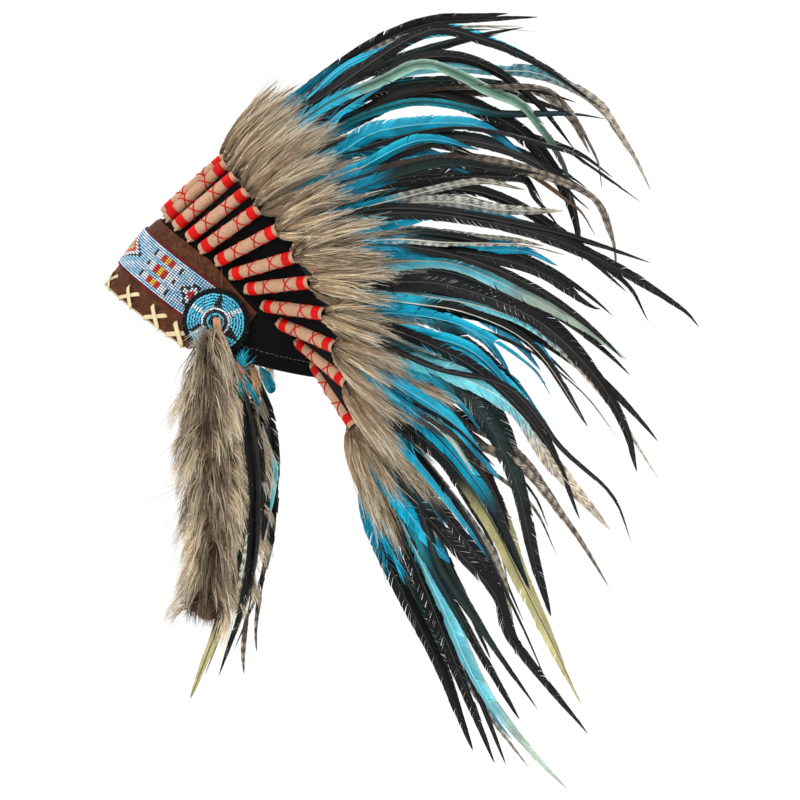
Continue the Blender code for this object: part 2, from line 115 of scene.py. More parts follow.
def crown(angle, height, proud):
    """Points on the crown, in the world, at angles from the brow's middle, proud of the cap's outer face."""
    angle, height, proud = np.broadcast_arrays(angle, height, proud)
    level = np.clip(height / CROWN_HEIGHT, 0, 1)
    share = np.maximum(1 - level ** CROWN_SQUARENESS, 0) ** (1 / CROWN_SQUARENESS)
    points = np.stack([
        HEAD_HALF_WIDTH * share * np.sin(angle),
        -HEAD_HALF_LENGTH * share * np.cos(angle),
        height,
    ], axis=-1)
    ring = np.hypot(points[..., 0] / HEAD_HALF_WIDTH, points[..., 1] / HEAD_HALF_LENGTH)
    normal = unit(np.stack([
        ring ** 2 * points[..., 0] / HEAD_HALF_WIDTH ** 2,
        ring ** 2 * points[..., 1] / HEAD_HALF_LENGTH ** 2,
        level ** 3 / CROWN_HEIGHT,
    ], axis=-1))
    return (points + normal * proud[..., None]) @ TILT.T


# Numbers, colours and meshes

def unit(vectors):
    vectors = np.asarray(vectors, float)
    return vectors / np.maximum(np.linalg.norm(vectors, axis=-1, keepdims=True), 1e-12)


def smooth_step(low, high, value):
    share = np.clip((value - low) / (high - low), 0, 1)
    return share * share * (3 - 2 * share)


def srgb(red, green, blue):
    """A colour named by its screen values, as the light that it reflects."""
    value = np.array([red, green, blue]) / 255
    return np.where(value <= 0.04045, value / 12.92, ((value + 0.055) / 1.055) ** 2.4)


def blend(first, second, share):
    share = np.asarray(share)[..., None]
    return np.asarray(first) * (1 - share) + np.asarray(second) * share


def resample(points, steps, places):
    """Points of a line at these distances, where its own lie at the given steps."""
    return np.stack([np.interp(places, steps, points[:, axis]) for axis in range(points.shape[1])], axis=1)


def lattice(rows, columns, closed=False):
    """Faces of a lattice of points; a closed one joins its last column to its first."""
    i = np.arange(rows - 1)[:, None]
    j = np.arange(columns if closed else columns - 1)[None, :]
    k = (j + 1) % columns
    corners = [i * columns + j, i * columns + k, (i + 1) * columns + k, (i + 1) * columns + j]
    return np.stack(corners, -1).reshape(-1, 4)


def link(name, data):
    obj = bpy.data.objects.new(name, data)
    scene.collection.objects.link(obj)
    return obj


class Pile:
    """Points with a tint and a grain place, and four-cornered faces, that become one mesh."""

    def __init__(self):
        self.blocks = []
        self.count = 0

    def add(self, points, faces, tint, grain=None):
        points = np.asarray(points, float).reshape(-1, 3)
        tint = np.broadcast_to(np.asarray(tint, float).reshape(-1, 3), points.shape)
        grain = points if grain is None else np.asarray(grain, float).reshape(-1, 3)
        self.blocks.append((points, np.asarray(faces, int).reshape(-1, 4) + self.count, tint, grain))
        self.count += len(points)

    def many(self, points, faces, tint, grain=None):
        """The same faces repeated over blocks of points: points are (blocks, count, 3)."""
        blocks, count = points.shape[:2]
        shifts = np.arange(blocks)[:, None, None] * count
        repeated = (np.asarray(faces, int)[None] + shifts).reshape(-1, 4)
        self.add(points, repeated, tint, grain)

    def make(self, name, material, slot, replaced):
        points, faces, tints, grains = (np.concatenate(part) for part in zip(*self.blocks))
        mesh = bpy.data.meshes.new(name)
        mesh.vertices.add(len(points))
        mesh.vertices.foreach_set("co", points.ravel())
        mesh.loops.add(faces.size)
        mesh.loops.foreach_set("vertex_index", faces.astype(np.int32).ravel())
        mesh.polygons.add(len(faces))
        mesh.polygons.foreach_set("loop_start", np.arange(0, faces.size, 4, dtype=np.int32))
        mesh.update(calc_edges=True)
        mesh.polygons.foreach_set("use_smooth", np.full(len(faces), True))
        tint = mesh.attributes.new("tint", "FLOAT_COLOR", "POINT")
        tint.data.foreach_set("color", np.concatenate([tints, np.ones((len(points), 1))], axis=1).ravel())
        grain = mesh.attributes.new("grain", "FLOAT_VECTOR", "POINT")
        grain.data.foreach_set("vector", grains.ravel())
        mesh.materials.append(material)
        obj = link(name, mesh)
        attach(obj, "root")
        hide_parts(*replaced)


def around(count):
    """Angles of points spread evenly round a circle."""
    return np.arange(count) * 2 * math.pi / count


def rings(side, face, count, flat=1.0):
    """Directions from a path out to points round it."""
    turns = around(count)[:, None]
    return side[:, None] * np.cos(turns) + face[:, None] * (flat * np.sin(turns))


def cross_frame(path, toward):
    """Directions along a path, and two across it, the second as near to `toward` as it can be."""
    along = unit(np.gradient(path, axis=0))
    side = unit(np.cross(np.broadcast_to(toward, along.shape), along))
    face = unit(np.cross(along, side))
    return along, side, face


def tube(pile, path, radius, sides, tint, toward=(0.31, 0.22, 0.92), flat=1.0, ends=True):
    """A round or flattened cord along a path."""
    path = np.asarray(path, float)
    along, side, face = cross_frame(path, np.array(toward))
    radius = np.broadcast_to(np.asarray(radius, float), (len(path),)).copy()
    if ends:
        first, last = path[:1] - along[:1] * radius[0] * 0.5, path[-1:] + along[-1:] * radius[-1] * 0.5
        path = np.concatenate([first, path, last])
        side, face = (np.concatenate([values[:1], values, values[-1:]]) for values in (side, face))
        radius = np.concatenate([[radius[0] * 0.15], radius, [radius[-1] * 0.15]])
    points = path[:, None] + rings(side, face, sides, flat) * radius[:, None, None]
    grain = np.stack(np.broadcast_arrays(steps_along(path)[:, None], around(sides) / 6.28, 0.0), -1)
    tint = np.asarray(tint, float)
    if tint.ndim == 2:
        tint = np.repeat(np.concatenate([tint[:1], tint, tint[-1:]]) if ends else tint, sides, axis=0)
    pile.add(points, lattice(len(path), sides, True), tint, grain)


def curve_through(points, count):
    """Evenly spaced points on a smooth line through a few points."""
    points = np.asarray(points, float)
    chords = np.linalg.norm(np.diff(points, axis=0), axis=1) ** 0.5
    places = np.concatenate([[0], np.cumsum(np.maximum(chords, 1e-9))])
    slopes = np.empty_like(points)
    slopes[1:-1] = (points[2:] - points[:-2]) / (places[2:] - places[:-2])[:, None]
    slopes[0] = (points[1] - points[0]) / (places[1] - places[0])
    slopes[-1] = (points[-1] - points[-2]) / (places[-1] - places[-2])
    fine = np.linspace(0, places[-1], 8 * count)
    k = np.clip(np.searchsorted(places, fine, side="right") - 1, 0, len(points) - 2)
    gap = places[k + 1] - places[k]
    t = ((fine - places[k]) / gap)[:, None]
    gap = gap[:, None]
    line = (
        (2 * t ** 3 - 3 * t ** 2 + 1) * points[k] + (t ** 3 - 2 * t ** 2 + t) * gap * slopes[k]
        + (3 * t ** 2 - 2 * t ** 3) * points[k + 1] + (t ** 3 - t ** 2) * gap * slopes[k + 1]
    )
    steps = steps_along(line)
    return resample(line, steps, np.linspace(0, steps[-1], count))


# Materials

class Surface:
    """A node material under construction, with short calls for its nodes."""

    def __init__(self, name, **values):
        self.material = bpy.data.materials.new(name)
        self.material.use_nodes = True
        self.tree = self.material.node_tree
        self.shader = self.tree.nodes["Principled BSDF"]
        for key, value in values.items():
            self.feed(self.shader.inputs[key.replace("_", " ")], value)

    def feed(self, socket, value):
        """Link an output to a socket, or set the socket's own value."""
        if isinstance(value, bpy.types.NodeSocket):
            self.tree.links.new(value, socket)
        else:
            socket.default_value = value

    def add(self, kind, output, inputs=None, **settings):
        """The output of a new node, with inputs by name or number."""
        made = self.tree.nodes.new("ShaderNode" + kind)
        for key, value in settings.items():
            setattr(made, key, value)
        for key, value in (inputs or {}).items():
            self.feed(made.inputs[key], value)
        return made.outputs[output]

    def tint(self):
        return self.add("VertexColor", "Color", layer_name="tint")

    def place(self, scale=(1, 1, 1), grain=False):
        """The object's own coordinates, or the grain places, scaled."""
        if grain:
            source = self.add("Attribute", "Vector", attribute_name="grain")
        else:
            source = self.add("TexCoord", "Object")
        return self.add("Mapping", "Vector", {"Vector": source, "Scale": scale})

    def noise(self, vector, scale, detail=3.0, roughness=0.55):
        inputs = {"Vector": vector, "Scale": scale, "Detail": detail, "Roughness": roughness}
        return self.add("TexNoise", "Fac", inputs)

    def ramp(self, factor, low, high, first=(0, 0, 0, 1), second=(1, 1, 1, 1)):
        output = self.add("ValToRGB", "Color", {"Fac": factor})
        for element, place, colour in zip(output.node.color_ramp.elements, (low, high), (first, second)):
            element.position = place
            element.color = colour
        return output

    def mix(self, factor, first, second, kind="MIX"):
        return self.add("Mix", 2, {0: factor, 6: first, 7: second}, data_type="RGBA", blend_type=kind)

    def cloud(self, base, factor, low, high, dark, light):
        """A colour times `dark` where a factor is low, and times `light` where it is high."""
        shares = [(*np.broadcast_to(share, 3).tolist(), 1) for share in (dark, light)]
        return self.mix(1.0, base, self.ramp(factor, low, high, *shares), "MULTIPLY")

    def speckle(self, factor, low, high, dark, light):
        """The tint multiplied by a mix of two colours, which a factor takes from the first to the second."""
        tone = self.mix(self.ramp(factor, low, high), (*dark, 1), (*light, 1))
        return self.mix(1.0, self.tint(), tone, "MULTIPLY")

    def span(self, factor, low, high):
        return self.add("MapRange", "Result", {"Value": factor, "To Min": low, "To Max": high})

    def colour(self, output):
        self.feed(self.shader.inputs["Base Color"], output)

    def rough(self, factor, low, high):
        self.feed(self.shader.inputs["Roughness"], self.span(factor, low, high))

    def bump(self, height, strength, distance):
        inputs = {"Height": height, "Strength": strength, "Distance": distance}
        self.feed(self.shader.inputs["Normal"], self.add("Bump", "Normal", inputs))


def streaked(name, scale, shade, bump, low, high, **values):
    """Tinted fibres: fine streaks that follow the grain darken the tint and give relief."""
    surface = Surface(name, **values)
    fine = surface.noise(surface.place(scale, grain=True), 1.0, 2.0)
    broad = surface.noise(surface.place(), 60.0, 2.0)
    dark = surface.mix(1.0, surface.tint(), (shade, shade, shade, 1), "MULTIPLY")
    tone = surface.mix(surface.ramp(fine, 0.35, 0.68), dark, surface.tint())
    surface.colour(surface.cloud(tone, broad, 0.3, 0.75, 0.78, 1.12))
    surface.rough(fine, low, high)
    surface.bump(fine, bump, 0.0003)
    return surface.material


vane_material = streaked("feather_vane", (2600, 4, 3), 0.66, 0.4, 0.36, 0.6, Specular_IOR_Level=0.16)
quill_material = streaked("feather_quill", (900, 6, 1), 0.75, 0.2, 0.25, 0.45)
fur_material = streaked("fur_strands", (260, 9, 40), 0.82, 0.3, 0.5, 0.8, Specular_IOR_Level=0.25)
thread_material = streaked("bound_thread", (2400, 12, 1), 0.72, 0.6, 0.5, 0.75, Specular_IOR_Level=0.15)


# Fan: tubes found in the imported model, and the feathers drawn from the photograph

PLUMES_A_SIDE = 13
# From the brow to the nape: droop of a plume in degrees, its length as a share, and the length of its fur
DROOPS = (40, 71, 83, 84, 92, 76, 75, 62, 53, 33, 22, 3, 3)
REACHES = (0.81, 0.95, 1.02, 0.99, 1.05, 1.11, 0.93, 1.00, 0.98, 0.97, 0.93, 0.94, 0.88)
FUR_LENGTHS = (0.066, 0.073, 0.081, 0.083, 0.083, 0.084, 0.084, 0.084, 0.085, 0.086, 0.086, 0.084, 0.080)
# Share of a plume's flare that is lost at its end, share of it over which a limb leaves its line, the longest
# way in metres, and the pixels that a feather goes out of its way for a plume with one feather less
FLARE_LOST = 0.65
LIMB_EASE = 0.3
LONGEST_WAY = 0.46
CROWDING = 3.0
ROUTE_POINTS = 60


def node_points(name):
    mesh = nodes[name].data
    points = np.empty(len(mesh.vertices) * 3)
    mesh.vertices.foreach_get("co", points)
    return points.reshape(-1, 3)


def tube_axis(label):
    """The middle and the direction of growth of a wrap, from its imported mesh."""
    points = np.unique(np.round(node_points(f"wrap_{label}"), 7), axis=0)
    middle = points.mean(0)
    axis = np.linalg.svd(points - middle)[2][0]
    plume = node_points(f"plume_{label}").mean(0)
    if axis.dot(plume - middle) < 0:
        axis = -axis
    places = (points - middle) @ axis
    middle = middle + axis * (places.max() + places.min()) / 2
    return middle, axis


plumes = []
for side, first in ((1, 1), (-1, 1 + PLUMES_A_SIDE)):
    for k in range(PLUMES_A_SIDE):
        label = f"{first + k:02d}"
        middle, axis = tube_axis(label)
        plumes.append({
            "label": label, "side": side, "k": k, "middle": middle, "axis": axis,
            "low": middle - axis * WRAP_LENGTH / 2, "high": middle + axis * WRAP_LENGTH / 2, "routes": [],
        })


# Kinds of feather: screen colours of the blade, its edge and its tip, the share where the tip's colour
# starts, the bars' colour and strength, and the shaft's colour
KIND_COLUMNS = ("body", "edge", "tip", "tip_start", "bar", "bars", "shaft")
KIND_ROWS = {
    "black": ((13, 12, 12), (9, 9, 9), (14, 13, 13), 0.7, (0, 0, 0), 0.0, (50, 47, 43)),
    "green": ((20, 46, 44), (10, 18, 18), (14, 18, 18), 0.7, (0, 0, 0), 0.0, (46, 48, 42)),
    "shafted": ((14, 14, 14), (9, 10, 10), (18, 18, 18), 0.7, (0, 0, 0), 0.0, (215, 208, 190)),
    "blue": ((0, 170, 206), (40, 200, 228), (0, 128, 164), 0.75, (0, 0, 0), 0.0, (110, 220, 240)),
    "inked": ((0, 164, 200), (30, 194, 224), (10, 26, 32), 0.62, (0, 0, 0), 0.0, (14, 22, 26)),
    "pale": ((86, 202, 222), (168, 232, 240), (186, 206, 188), 0.66, (60, 44, 36), 0.0, (226, 236, 232)),
    "barred": ((110, 208, 222), (140, 218, 226), (224, 208, 184), 0.6, (70, 46, 38), 0.85, (230, 236, 226)),
    "sage": ((92, 134, 116), (172, 206, 186), (58, 70, 62), 0.72, (0, 0, 0), 0.0, (70, 84, 74)),
    "teal": ((14, 122, 134), (20, 146, 158), (16, 44, 48), 0.6, (0, 0, 0), 0.0, (18, 60, 66)),
    "olive": ((22, 36, 34), (12, 20, 18), (188, 180, 126), 0.46, (0, 0, 0), 0.0, (50, 46, 34)),
    "grizzly": ((196, 196, 186), (216, 214, 204), (206, 196, 172), 0.8, (34, 32, 32), 0.95, (222, 216, 200)),
    "brown": ((58, 44, 36), (44, 34, 28), (56, 44, 36), 0.8, (214, 200, 180), 0.6, (52, 36, 28)),
    "tan": ((176, 132, 92), (150, 108, 74), (120, 84, 60), 0.7, (60, 40, 30), 0.4, (92, 62, 44)),
}

# Feathers as seen: kind, width in pixels, then places on the way from the fur to the tip in pixels
FEATHER_ROWS = (
    ("black", 14, (300, 96), (372, 47), (427, 24), (475, 20), (539, 17)),
    ("grizzly", 7, (372, 52), (440, 30), (522, 26)),
    ("grizzly", 7, (380, 50), (455, 27), (540, 32)),
    ("blue", 9, (305, 101), (348, 64), (420, 37)),
    ("black", 16, (330, 92), (427, 31), (483, 40), (526, 57), (556, 74), (605, 110)),
    ("barred", 11, (400, 74), (501, 71), (541, 74), (595, 102), (618, 132), (633, 155), (651, 191)),
    ("sage", 17, (320, 108), (380, 80), (427, 63), (491, 90), (526, 108), (563, 163), (572, 206)),
    ("teal", 9, (400, 104), (501, 114), (572, 114), (607, 119)),
    ("blue", 17, (314, 136), (340, 112), (388, 82)),
    ("blue", 20, (333, 157), (380, 131), (475, 125), (526, 157)),
    ("black", 18, (348, 122), (396, 99), (443, 96), (523, 134), (569, 198), (583, 262)),
    ("black", 14, (367, 142), (435, 144), (498, 166)),
    ("blue", 16, (343, 190), (380, 163), (412, 150), (444, 154)),
    ("green", 16, (345, 195), (435, 166), (491, 169), (541, 174)),
    ("grizzly", 13, (389, 201), (475, 182), (526, 190)),
    ("black", 12, (400, 182), (518, 178), (536, 198), (558, 225)),
    ("brown", 14, (400, 98), (518, 88), (556, 96), (595, 155), (602, 189)),
    ("black", 13, (440, 128), (560, 148), (587, 163), (641, 202)),
    ("brown", 12, (440, 160), (581, 189), (610, 232), (616, 263), (610, 285)),
    ("black", 13, (470, 190), (617, 276), (649, 322)),
    ("tan", 9, (480, 160), (572, 204), (596, 236)),
    ("black", 16, (380, 214), (450, 216), (541, 235), (616, 268), (682, 309), (699, 327)),
    ("black", 10, (400, 208), (541, 229), (600, 246), (651, 263)),
    ("grizzly", 14, (390, 206), (450, 202), (500, 210), (564, 211)),
    ("blue", 15, (380, 224), (450, 211), (516, 223), (569, 236)),
    ("grizzly", 12, (384, 240), (450, 243), (525, 245), (566, 255)),
    ("black", 17, (376, 250), (450, 251), (533, 269), (591, 306), (601, 309)),
    ("pale", 16, (380, 262), (450, 263), (516, 291), (583, 326), (627, 360)),
    ("blue", 13, (390, 256), (516, 250), (558, 266)),
    ("black", 22, (385, 282), (450, 286), (533, 318), (591, 371), (624, 425), (637, 472)),
    ("barred", 8, (400, 292), (520, 320), (600, 390), (658, 478)),
    ("shafted", 15, (390, 300), (467, 313), (533, 347), (588, 427)),
    ("black", 8, (400, 310), (510, 340), (580, 390), (617, 437)),
    ("blue", 19, (397, 313), (463, 326), (529, 366), (551, 396)),
    ("olive", 9, (410, 305), (520, 330), (596, 377), (628, 407)),
    ("barred", 20, (393, 356), (446, 371), (512, 406), (554, 466), (610, 530)),
    ("green", 20, (408, 366), (468, 396), (513, 474), (534, 560), (551, 617)),
    ("black", 12, (415, 350), (455, 362), (497, 379)),
    ("black", 8, (430, 366), (509, 388), (562, 449), (612, 496), (631, 541)),
    ("black", 14, (413, 400), (455, 426), (496, 467)),
    ("pale", 12, (425, 415), (451, 438), (475, 476)),
    ("olive", 26, (388, 413), (446, 459), (488, 516), (520, 579), (553, 645), (581, 704)),
    ("brown", 13, (430, 425), (516, 466), (569, 526), (609, 587)),
    ("brown", 8, (440, 440), (526, 500), (558, 557)),
    ("grizzly", 12, (430, 470), (495, 559), (513, 620)),
    ("black", 16, (363, 497), (390, 566), (437, 661), (473, 751)),
    ("blue", 10, (373, 516), (390, 548), (406, 578)),
    ("black", 16, (395, 516), (433, 609), (466, 690), (495, 764)),
    ("black", 12, (400, 520), (445, 620), (480, 700), (506, 765)),
    ("grizzly", 9, (405, 540), (474, 690), (529, 768)),
    ("pale", 18, (407, 532), (442, 606), (481, 690), (535, 757), (568, 790)),
    ("teal", 15, (400, 480), (425, 551), (468, 635)),
    ("green", 11, (415, 500), (442, 571), (489, 641), (538, 710)),
    ("black", 18, (440, 532), (494, 592), (512, 640), (588, 734)),
    ("blue", 20, (366, 453), (416, 523), (450, 563)),
    ("blue", 16, (400, 440), (450, 500), (490, 560)),
    ("black", 15, (340, 108), (410, 62), (470, 60), (530, 96), (575, 150)),
    ("blue", 14, (322, 120), (372, 90), (430, 78)),
    ("blue", 16, (352, 172), (420, 140), (480, 150)),
    ("black", 14, (360, 168), (450, 140), (530, 160), (590, 210)),
    ("blue", 15, (395, 330), (470, 350), (520, 400)),
    ("black", 14, (395, 330), (480, 372), (545, 440), (580, 520)),
    ("blue", 15, (390, 380), (450, 420), (500, 480)),
    ("black", 15, (400, 430), (470, 520), (520, 620), (550, 690)),
    ("black", 14, (380, 470), (430, 560), (480, 650), (520, 720)),
    ("inked", 18, (385, 398), (440, 440), (490, 505), (530, 590)),
)


def heading(plume, share, turn, flare):
    """Direction of growth of a plume at a share of its length, as in the part's source."""
    axis = plume["axis"] * np.array([plume["side"], 1, 1])
    out = math.asin(axis[0]) * (1 - FLARE_LOST * min(share, 1)) + flare
    rise = math.atan2(axis[2], axis[1]) + turn - math.radians(DROOPS[plume["k"]]) * share
    return np.array([
        plume["side"] * math.sin(out), math.cos(out) * math.cos(rise), math.cos(out) * math.sin(rise),
    ])


def grow(plume, start, length, steps, bend):
    """Points on a way out of a tube; `bend` gives its turn and flare at a share of its own length."""
    line = [start]
    for k in range(steps):
        share = (k + 0.5) / steps
        line.append(line[-1] + heading(plume, share * length / PLUME_LENGTH, *bend(share)) * (length / steps))
    return np.array(line)


def growth(plume, length, turn=0.0, flare=0.0):
    """Points on the way that a limb of the part's plume takes."""
    def bend(share):
        ease = min(share * length / PLUME_LENGTH / LIMB_EASE, 1.0)
        return turn * ease, flare * ease
    return grow(plume, plume["high"], length, 40, bend)


def fur_line(plume, length, turn, flare, start):
    """Points on the way of a lock of fur, which leaves the tube wide and then draws in."""
    def bend(share):
        fan = 0.35 + 2.4 * math.exp(-4.5 * share)
        return turn * fan, flare * fan
    return grow(plume, plume["high"] + start, length, 9, bend)


def seen_growth(plume):
    """A long limb of a plume in the world, and its pixels."""
    line = growth(plume, LONGEST_WAY)
    return line, project(line)


def choose_plume(way):
    """The near side's plume whose own growth, as the camera sees it, lies nearest to a feather's way."""
    fine = curve_through(way, 12)

    def cost(plume):
        gaps = np.linalg.norm(fine[:, None] - seen_growth(plume)[1], axis=2).min(axis=1)
        return gaps.mean() + gaps[0] + CROWDING * len(plume["routes"])
    return min(plumes[:PLUMES_A_SIDE], key=cost)


def world_route(plume, ways, far, rng):
    """A feather's line in the world, from its tube to its tip, on the near side or over on the far one."""
    flat = curve_through([project(plume["high"]), *ways], ROUTE_POINTS)
    steps = steps_along(flat)
    grown, seen = seen_growth(plume)
    share = steps * PIXEL / PLUME_LENGTH
    depth = np.interp(steps, steps_along(seen), grown[:, 0])
    x = depth + rng.uniform(-0.012, 0.008) * smooth_step(0.0, 0.3, share)
    line = unproject(*flat.T, x)
    line += (plume["high"] - line[0]) * (1 - smooth_step(0.0, 0.15, share))[:, None]
    if not far:
        return line
    keep = int(ROUTE_POINTS * rng.uniform(0.9, 0.98))
    mirrored, seen_same = line * np.array([-1, 1, 1]), unproject(*flat.T, -x)
    middle = blend(mirrored, seen_same, 0.92 * smooth_step(0.05, 0.7, share))
    sway = rng.normal(0, 0.0035) * share ** 1.5
    middle = middle + np.cross(unit(np.gradient(middle, axis=0)), [1.0, 0, 0]) * sway[:, None]
    return curve_through(middle[:keep:6], ROUTE_POINTS)


# Colours that dark feathers have at their roots, where their down is dyed
ROOT_SHADES = ((0, 150, 184), (30, 176, 204), (14, 104, 116), (24, 56, 58), (20, 22, 22), (20, 22, 22))
# Kinds whose roots keep the blade's own colour, and kinds with bars only towards the tip
DYED_KINDS = ("blue", "inked", "pale", "barred", "teal")
TIP_BARRED_KINDS = ("barred", "brown", "tan")
# Along a blade in metres: step from barb to barb, bare shaft, bar to bar, and reach of the down's roots
BARB_STEP = 0.0027
BARE_SHAFT = 0.018
BAR_PITCH = 0.0085
DOWN_PLACE = (0.045, 0.105)
DOWN_HAIRS = 26
# Places across half a blade, as shares of its width, at which a barb bends
BARB_STATIONS = np.array([0.0, 0.4, 0.75, 1.0])
RIBBON_ROWS = 4


def blade_colours(look, kind, share, across, length, width, phase, tip_start):
    """Colours of half a blade at shares of its length and of its width: edge, tip and bars over the body."""
    colour = blend(srgb(*look["body"]), srgb(*look["edge"]), smooth_step(0.5, 1.0, across))
    past = smooth_step(tip_start, tip_start + 0.16, share + 0.05 * across)
    colour = blend(colour, srgb(*look["tip"]), past)
    if look["bars"] > 0:
        place = (share + across * width / length * 0.6) * length
        wave = np.sin(place / BAR_PITCH * 2 * math.pi + phase + 0.6 * np.sin(place * 300))
        strength = smooth_step(-0.1, 0.35, wave) * look["bars"]
        if kind in TIP_BARRED_KINDS:
            strength = strength * smooth_step(0.45, 0.62, share)
        colour = blend(colour, srgb(*look["bar"]), strength)
    return colour


def feather(vanes, quills, line, width, kind, rng, dyed=True):
    """A blade of barbs in small clusters that part at their ends, and the quill between its two halves."""
    look = dict(zip(KIND_COLUMNS, KIND_ROWS[kind]))
    steps = steps_along(line)
    length = steps[-1]
    count = max(int(length / BARB_STEP), 12)
    path = resample(line, steps, np.linspace(0, length, count + 1))
    along, across, face = cross_frame(path, np.array([1.0, 0.0, 0.0]))
    share = np.linspace(0, 1, count + 1)
    roll = rng.normal(0, 0.5) + rng.normal(0, 0.5) * share
    turned = across * np.cos(roll)[:, None] + face * np.sin(roll)[:, None]
    front = face * np.cos(roll)[:, None] - across * np.sin(roll)[:, None]
    bare = BARE_SHAFT / length
    blade = np.clip((share - bare) / (1 - bare), 0, 1)
    profile = smooth_step(0, 0.16, blade) ** 0.6 * np.maximum(1 - blade ** rng.uniform(2.6, 4.2), 0) ** 0.75
    profile = profile * (1 + 0.08 * np.sin(blade * rng.uniform(5, 9) + rng.uniform(0, 6)))
    segments = np.arange(int(bare * count), count)
    ends = np.stack([segments, segments + 1], 1)
    value = rng.uniform(0.8, 1.22)
    roof = rng.uniform(0.15, 0.45)
    tip_start = look["tip_start"] + rng.uniform(-0.08, 0.08)
    phase = rng.uniform(0, 6)
    root = srgb(*ROOT_SHADES[rng.integers(len(ROOT_SHADES))])
    if kind in DYED_KINDS:
        root = srgb(*look["body"])
    down = rng.uniform(-0.02, 0.045) if dyed else -0.3
    for q in (-1, 1):
        cluster = np.cumsum(rng.random(len(segments)) < 0.22)
        groups = cluster[-1] + 1
        slip = rng.normal(0, 0.075, groups)[cluster]
        reach = (1 + rng.normal(0, 0.05, groups))[cluster] + rng.normal(0, 0.02, len(segments))
        lift = rng.normal(0, 0.10, groups)[cluster]
        half = (profile[ends] * width / 2 * rng.uniform(0.85, 1.1))[..., None]
        lean = ((1.25 - 0.25 * share[ends]) * (1 + slip[:, None]))[..., None]
        w = BARB_STATIONS
        out = q * (half * w * reach[:, None, None])
        points = (
            path[ends][:, :, None] + turned[ends][:, :, None] * out[..., None]
            + along[ends][:, :, None] * (half * lean * w ** 1.35)[..., None]
            + front[ends][:, :, None] * (-half * (roof + lift[:, None, None]) * w ** 1.7)[..., None]
        )
        s = np.broadcast_to(share[ends][..., None], points.shape[:3])
        w = np.broadcast_to(w, points.shape[:3])
        colour = blade_colours(look, kind, s, w, length, width, phase, tip_start)
        colour = blend(root, colour, smooth_step(0.075 + down, 0.110 + down, s * length))
        shade = (1 + rng.normal(0, 0.10, groups)[cluster])[:, None, None, None] * value
        grain = np.stack([s * length, w + q, np.broadcast_to(phase, s.shape)], -1)
        faces = lattice(2, len(BARB_STATIONS))
        vanes.many(points.reshape(len(segments), -1, 3), faces, np.clip(colour * shade, 0, 1), grain)
    keep = slice(0, count, 5)
    thick = 0.00095 * (1 - share[keep]) ** 0.8 + 0.00012
    tube(quills, path[keep] + front[keep] * 0.0002, thick, 3, srgb(*look["shaft"]) * value, (1, 0.1, 0.1))
    if not dyed:
        return
    at = np.minimum((rng.uniform(*DOWN_PLACE, DOWN_HAIRS) / length * count).astype(int), count)
    sign = rng.choice([-1.0, 1.0], DOWN_HAIRS)[:, None]
    spread = rng.uniform(0.4, 1.0, (DOWN_HAIRS, 1)) * width * 0.75
    roots = path[at]
    bends = roots + turned[at] * sign * spread * 0.6 + along[at] * 0.006
    tips = roots + turned[at] * sign * spread + along[at] * rng.uniform(0.012, 0.026, (DOWN_HAIRS, 1))
    tips = tips + rng.normal(0, 0.0015, (DOWN_HAIRS, 3))
    fluff = np.repeat(np.clip(root * 1.25 + 0.01, 0, 1)[None], DOWN_HAIRS, axis=0)
    ribbons(vanes, roots, bends, tips, 0.0011, fluff, fluff, fluff, rng)


def ribbons(pile, roots, bends, tips, width, base, middle, tip, rng):
    """Hairs as flat tapered strands, each on a curve from its root by its bend to its tip."""
    n = len(roots)
    t = np.linspace(0, 1, RIBBON_ROWS)[None, :, None]
    line = roots[:, None] * (1 - t) ** 2 + 2 * bends[:, None] * t * (1 - t) + tips[:, None] * t ** 2
    along = unit(np.gradient(line, axis=1))
    across = unit(np.cross(along, unit(rng.normal(0, 1, (n, 1, 3)))))
    breadth = np.broadcast_to(width, (n,))[:, None, None] * (np.maximum(1 - t, 0.06)) ** 0.6
    points = np.stack([line - across * breadth / 2, line + across * breadth / 2], axis=2)
    first = smooth_step(0.0, 0.45, t)
    second = smooth_step(0.55, 1.0, t)
    tint = base[:, None] * (1 - first) + middle[:, None] * first
    tint = tint * (1 - second) + tip[:, None] * second
    tint = np.repeat(tint[:, :, None], 2, axis=2)
    number = rng.uniform(0, 9, (n, 1, 1))
    grain = np.stack(np.broadcast_arrays(t * 0.06, np.array([0.0, 1.0]), number), axis=-1)
    pile.many(points.reshape(n, -1, 3), lattice(RIBBON_ROWS, 2), tint, grain)


FUR_DARK = srgb(170, 144, 110)
FUR_MIDDLE = srgb(242, 221, 186)
FUR_LIGHT = srgb(255, 250, 236)
# The deepest hair colour, which is also used as painted shade on the locks' inner forms and on the drops'
# backing
FUR_DEEP_AND_SHADE = srgb(84, 66, 50)
LOCK_SIDES = 6
LOCK_STRANDS = 66
LOCK_SPREAD = 1.15


